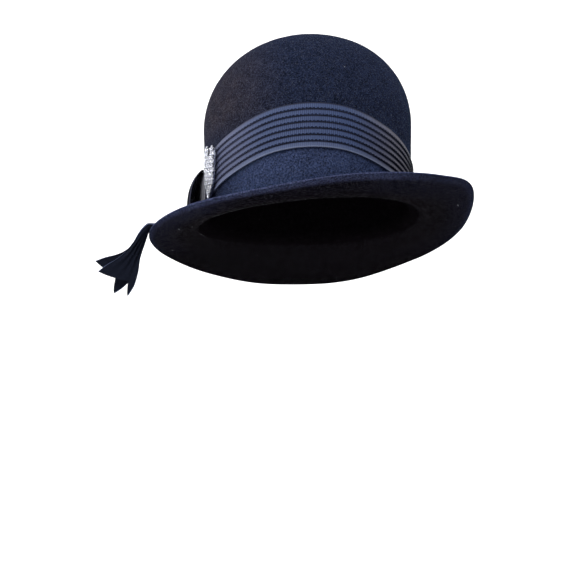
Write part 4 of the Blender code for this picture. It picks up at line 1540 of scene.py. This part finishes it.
def add_tarnish(material, shader):
    """Fine uneven gloss and relief over the metal."""
    tree = material.node_tree
    place = tree.nodes.new("ShaderNodeTexCoord").outputs["Object"]
    spots = noise_node(tree, place, 700.0, 3.0, 0.6)
    tree.links.new(range_node(tree, spots, 0.35, 0.7, 0.14, 0.34), shader.inputs["Roughness"])
    bump(tree, shader, spots, 0.00002)


def brooch_outline(brooch):
    """The setting's outline as points in its own plane."""
    half = [(point.across * brooch.width / 2, (point.up - 0.5) * brooch.height) for point in BROOCH_OUTLINE]
    return half + [(-x, y) for x, y in reversed(half)]


def build_setting(brooch, place, metal, shaded_recess):
    """The plate with its raised edge and the pin behind it."""
    work = bmesh.new()
    outline = brooch_outline(brooch)
    lower = [work.verts.new((x, y, 0.0)) for x, y in outline]
    plate = work.faces.new(lower)
    raised = bmesh.ops.extrude_face_region(work, geom=[plate])
    top = [item for item in raised["geom"] if isinstance(item, bmesh.types.BMFace)]
    bmesh.ops.translate(work, verts=[v for v in raised["geom"] if isinstance(v, bmesh.types.BMVert)],
                        vec=(0.0, 0.0, brooch.plate))
    bmesh.ops.inset_region(work, faces=top, thickness=brooch.rim, depth=0.0)
    bmesh.ops.translate(work, verts=list({v for face in top for v in face.verts}),
                        vec=(0.0, 0.0, -brooch.rim))
    # The recessed floor between the stones takes the painted shade.
    for face in top:
        face.material_index = 1
    bmesh.ops.recalc_face_normals(work, faces=work.faces)
    pin = Matrix.Translation((0.0, 0.0, -brooch.pin_radius + brooch.pin_sink)) @ Matrix.Rotation(
        math.pi / 2, 4, "X")
    bmesh.ops.create_cone(work, cap_ends=True, segments=PIN_SIDES, radius1=brooch.pin_radius,
                          radius2=brooch.pin_radius, depth=brooch.pin_length, matrix=pin)
    for row in STONE_ROWS:
        radius = brooch.stone * row.radius
        for across in row.across:
            spot = stone_spot(brooch, row, across)
            cup = Matrix.Translation(spot + Vector((0.0, 0.0, -brooch.rim)))
            bmesh.ops.create_cone(work, cap_ends=True, segments=CUP_SIDES, radius1=radius * CUP_FOOT,
                                  radius2=radius * CUP_LIP, depth=2 * brooch.rim, matrix=cup)
            for prong in range(PRONGS):
                turn = math.tau * (prong + 0.5) / PRONGS
                tip = spot + Vector((math.cos(turn), math.sin(turn), 0.0)) * radius * PRONG_PLACE
                bead = Matrix.Translation(tip + UP * brooch.crown * PRONG_RISE)
                bmesh.ops.create_uvsphere(work, u_segments=8, v_segments=6, radius=brooch.prong, matrix=bead)
    bmesh.ops.transform(work, matrix=place, verts=work.verts)
    mesh = bpy.data.meshes.new("brooch_setting")
    work.to_mesh(mesh)
    work.free()
    mesh.materials.append(metal)
    mesh.materials.append(shaded_recess)
    mesh.shade_smooth()
    mesh.set_sharp_from_angle(angle=math.radians(SETTING_SHARP))
    piece = bpy.data.objects.new("brooch_setting", mesh)
    bpy.context.scene.collection.objects.link(piece)
    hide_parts("brooch")
    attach(piece, "root")


def stone_spot(brooch, row, across):
    """The middle of one stone on the plate."""
    return Vector((across * brooch.width / 2, (row.up - 0.5) * brooch.height, brooch.plate))


def build_stones(brooch, place, backings):
    """Cut stones with a table, and bright and dim facets under the glassy ones."""
    chance = np.random.RandomState(SEED)
    glass, shader = new_material("clear_stone", (1.0, 1.0, 1.0), 0.0)
    shader.inputs["Transmission Weight"].default_value = 1.0
    shader.inputs["IOR"].default_value = STONE_INDEX
    points, faces, slots = [], [], []
    for row in STONE_ROWS:
        for across in row.across:
            spot = stone_spot(brooch, row, across)
            radius = brooch.stone * row.radius * STONE_SHARE
            add_stone(points, faces, slots, brooch, spot, radius, chance)
    points = [place @ point for point in points]
    foils = [mottled_material(name, backing, 0.12, 1.0, scale=900.0, depth=0.5)[0]
             for name, backing in zip(("bright_foil", "dim_foil"), backings)]
    piece = mesh_piece("brooch_stones", points, faces, [glass, *foils], smooth=False)
    piece.data.polygons.foreach_set("material_index", slots)
    face_outward(piece)
    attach(piece, "root")


def add_stone(points, faces, slots, brooch, spot, radius, chance):
    """One cut stone: table, crown facets, girdle and the foiled facets below it."""
    first = len(points)
    bright_chance, bright_share, dim_share = MOSTLY_BRIGHT
    bright = bright_share if chance.rand() < bright_chance else dim_share
    tilt = Euler((*chance.normal(0.0, STONE_TILT, 2), chance.uniform(0.0, math.tau))).to_matrix()
    for ring in STONE_CUT:
        for side in range(STONE_SIDES):
            turn = math.tau * (side + ring.twist + 0.5) / STONE_SIDES
            offset = Vector((math.cos(turn), math.sin(turn), 0.0)) * radius * ring.radius
            points.append(spot + tilt @ (offset + UP * brooch.crown * ring.height))
    point = len(points)
    points.append(spot - UP * brooch.rim * STONE_POINT)
    table, crown, girdle, base = (first + STONE_SIDES * ring for ring in range(4))
    faces.append(tuple(table + side for side in range(STONE_SIDES)))
    slots.append(0)
    for side in range(STONE_SIDES):
        after = (side + 1) % STONE_SIDES
        faces.extend([
            (table + side, crown + side, table + after),
            (table + after, crown + side, girdle + after, crown + after),
            (crown + side, girdle + side, girdle + after),
            (girdle + side, base + side, base + after, girdle + after),
            (base + side, point, base + after),
        ])
        slots.extend([0, 0, 0, 0, 1 if chance.rand() < bright else 2])


class SetStudio(bpy.types.Operator):
    """Sets the camera, floor, backdrop and lights"""

    bl_idname = "cloche.studio"
    bl_label = "Studio"

    def execute(self, context):
        studio = context.scene.cloche_studio
        aim_camera(studio)
        build_backdrop(studio)
        set_lights(studio)
        return {"FINISHED"}


def aim_camera(studio):
    """A camera at the picture's viewing angle, set by where the hat's middle falls in the picture."""
    back = Vector((
        math.sin(studio.azimuth) * math.cos(studio.elevation),
        -math.cos(studio.azimuth) * math.cos(studio.elevation),
        math.sin(studio.elevation),
    ))
    place = UP * studio.aim_height + back * studio.distance
    right = (-back).cross(UP).normalized()
    level = Matrix((right, right.cross(-back), back))
    half = PICTURE_SIZE / 2
    aimed = Vector(((AIM_ACROSS - half) / FOCAL_PIXELS, (half - AIM_DOWN) / FOCAL_PIXELS, -1.0))
    swing = Vector((0.0, 0.0, -1.0)).rotation_difference(aimed).to_matrix()
    axes = swing @ Matrix.Rotation(studio.roll, 3, "Z") @ level
    data = bpy.data.cameras.new("camera")
    data.sensor_width = SENSOR
    data.lens = SENSOR * FOCAL_PIXELS / PICTURE_SIZE
    camera = bpy.data.objects.new("camera", data)
    camera.matrix_world = Matrix.Translation(place) @ axes.transposed().to_4x4()
    bpy.context.scene.collection.objects.link(camera)
    bpy.context.scene.camera = camera


def build_backdrop(studio):
    """A floor that curves up into the backdrop."""
    floor = CAD_BOUNDS[0][2] - studio.floor_drop
    curve_start = FLOOR_FAR - FLOOR_CURVE
    profile = [(FLOOR_NEAR, floor), (curve_start, floor)]
    for step in range(1, FLOOR_CURVE_STEPS + 1):
        turn = math.pi / 2 * step / FLOOR_CURVE_STEPS
        back = curve_start + FLOOR_CURVE * math.sin(turn)
        profile.append((back, floor + FLOOR_CURVE * (1 - math.cos(turn))))
    profile.append((FLOOR_FAR, BACKDROP_TOP))
    points = [(side * FLOOR_HALF, y, z) for y, z in profile for side in (-1, 1)]
    faces = grid_faces(len(profile), 2)
    material, _ = mottled_material("pale_floor", plain_colour(studio.floor), 0.9, scale=6.0, depth=0.02)
    piece = mesh_piece("studio_floor", points, faces, [material])


def set_lights(studio):
    """The light from all round and the studio's large soft lights."""
    world = bpy.data.worlds.new("studio")
    world.use_nodes = True
    tree = world.node_tree
    direction = tree.nodes.new("ShaderNodeSeparateXYZ")
    tree.links.new(tree.nodes.new("ShaderNodeTexCoord").outputs["Generated"], direction.inputs[0])
    height = range_node(tree, direction.outputs["Z"], *SKY_RISE)
    sky = mix_colour(tree, height, SKY_LOW, SKY_HIGH)
    tree.links.new(sky, tree.nodes["Background"].inputs["Color"])
    tree.nodes["Background"].inputs["Strength"].default_value = studio.sky
    bpy.context.scene.world = world
    bpy.context.scene.view_settings.view_transform = "Standard"
    add_light("key", KEY_LIGHT, KEY_LIGHT.place, HAT_AIM, studio.key_power)
    add_light("fill", FILL_LIGHT, FILL_LIGHT.place, HAT_AIM, studio.fill_power)
    add_light("top", TOP_LIGHT, TOP_LIGHT.place, HAT_AIM, studio.top_power)
    across, ahead, up = BACKDROP_LIGHT.place
    for side in (-1, 1):
        place = (side * across, ahead, up)
        add_light(f"backdrop_{side + 1}", BACKDROP_LIGHT, place, BACKDROP_AIM, studio.backdrop_power)


def add_light(name, kind, place, aim, power):
    """One large soft light at a place, turned to what it aims at."""
    data = bpy.data.lights.new(name, "AREA")
    data.size = kind.size
    data.energy = power
    data.color = kind.tint
    light = bpy.data.objects.new(name, data)
    light.location = place
    light.rotation_euler = (Vector(aim) - Vector(place)).to_track_quat("-Z", "Y").to_euler()
    bpy.context.scene.collection.objects.link(light)


class ClochePanel(bpy.types.Panel):
    """The hat's sizes, colours and pieces in the sidebar"""

    bl_idname = "VIEW3D_PT_cloche"
    bl_label = "Cloche Hat"
    bl_space_type = "VIEW_3D"
    bl_region_type = "UI"
    bl_category = "Cloche Hat"

    def draw(self, context):
        layout = self.layout
        for operator in OPERATORS:
            layout.operator(operator.bl_idname)
        for attribute, kind in SETTINGS.items():
            box = layout.box()
            box.label(text=kind.__doc__)
            for name in kind.__annotations__:
                box.prop(getattr(context.scene, attribute), name)


SETTINGS = {
    "cloche_hat": HatForm,
    "cloche_band": BandForm,
    "cloche_ribbon": RibbonForm,
    "cloche_brooch": BroochForm,
    "cloche_colours": HatColours,
    "cloche_studio": StudioSetup,
}
OPERATORS = (SetStudio, DressFelt, DressBand, DressLoop, DressRibbonEnds, DressBrooch)


def register():
    """Registers the settings, the operators and the panel."""
    for kind in (*SETTINGS.values(), *OPERATORS, ClochePanel):
        bpy.utils.register_class(kind)
    for attribute, kind in SETTINGS.items():
        setattr(bpy.types.Scene, attribute, PointerProperty(type=kind))


def unregister():
    """Takes away what register added."""
    for attribute in SETTINGS:
        delattr(bpy.types.Scene, attribute)
    for kind in (ClochePanel, *reversed(OPERATORS), *reversed(list(SETTINGS.values()))):
        bpy.utils.unregister_class(kind)


def main():
    """Builds every piece."""
    register()
    bpy.ops.cloche.studio()
    bpy.ops.cloche.felt()
    bpy.ops.cloche.band()
    bpy.ops.cloche.loop()
    bpy.ops.cloche.ribbon_ends()
    bpy.ops.cloche.brooch()


if __name__ == "__main__":
    main()
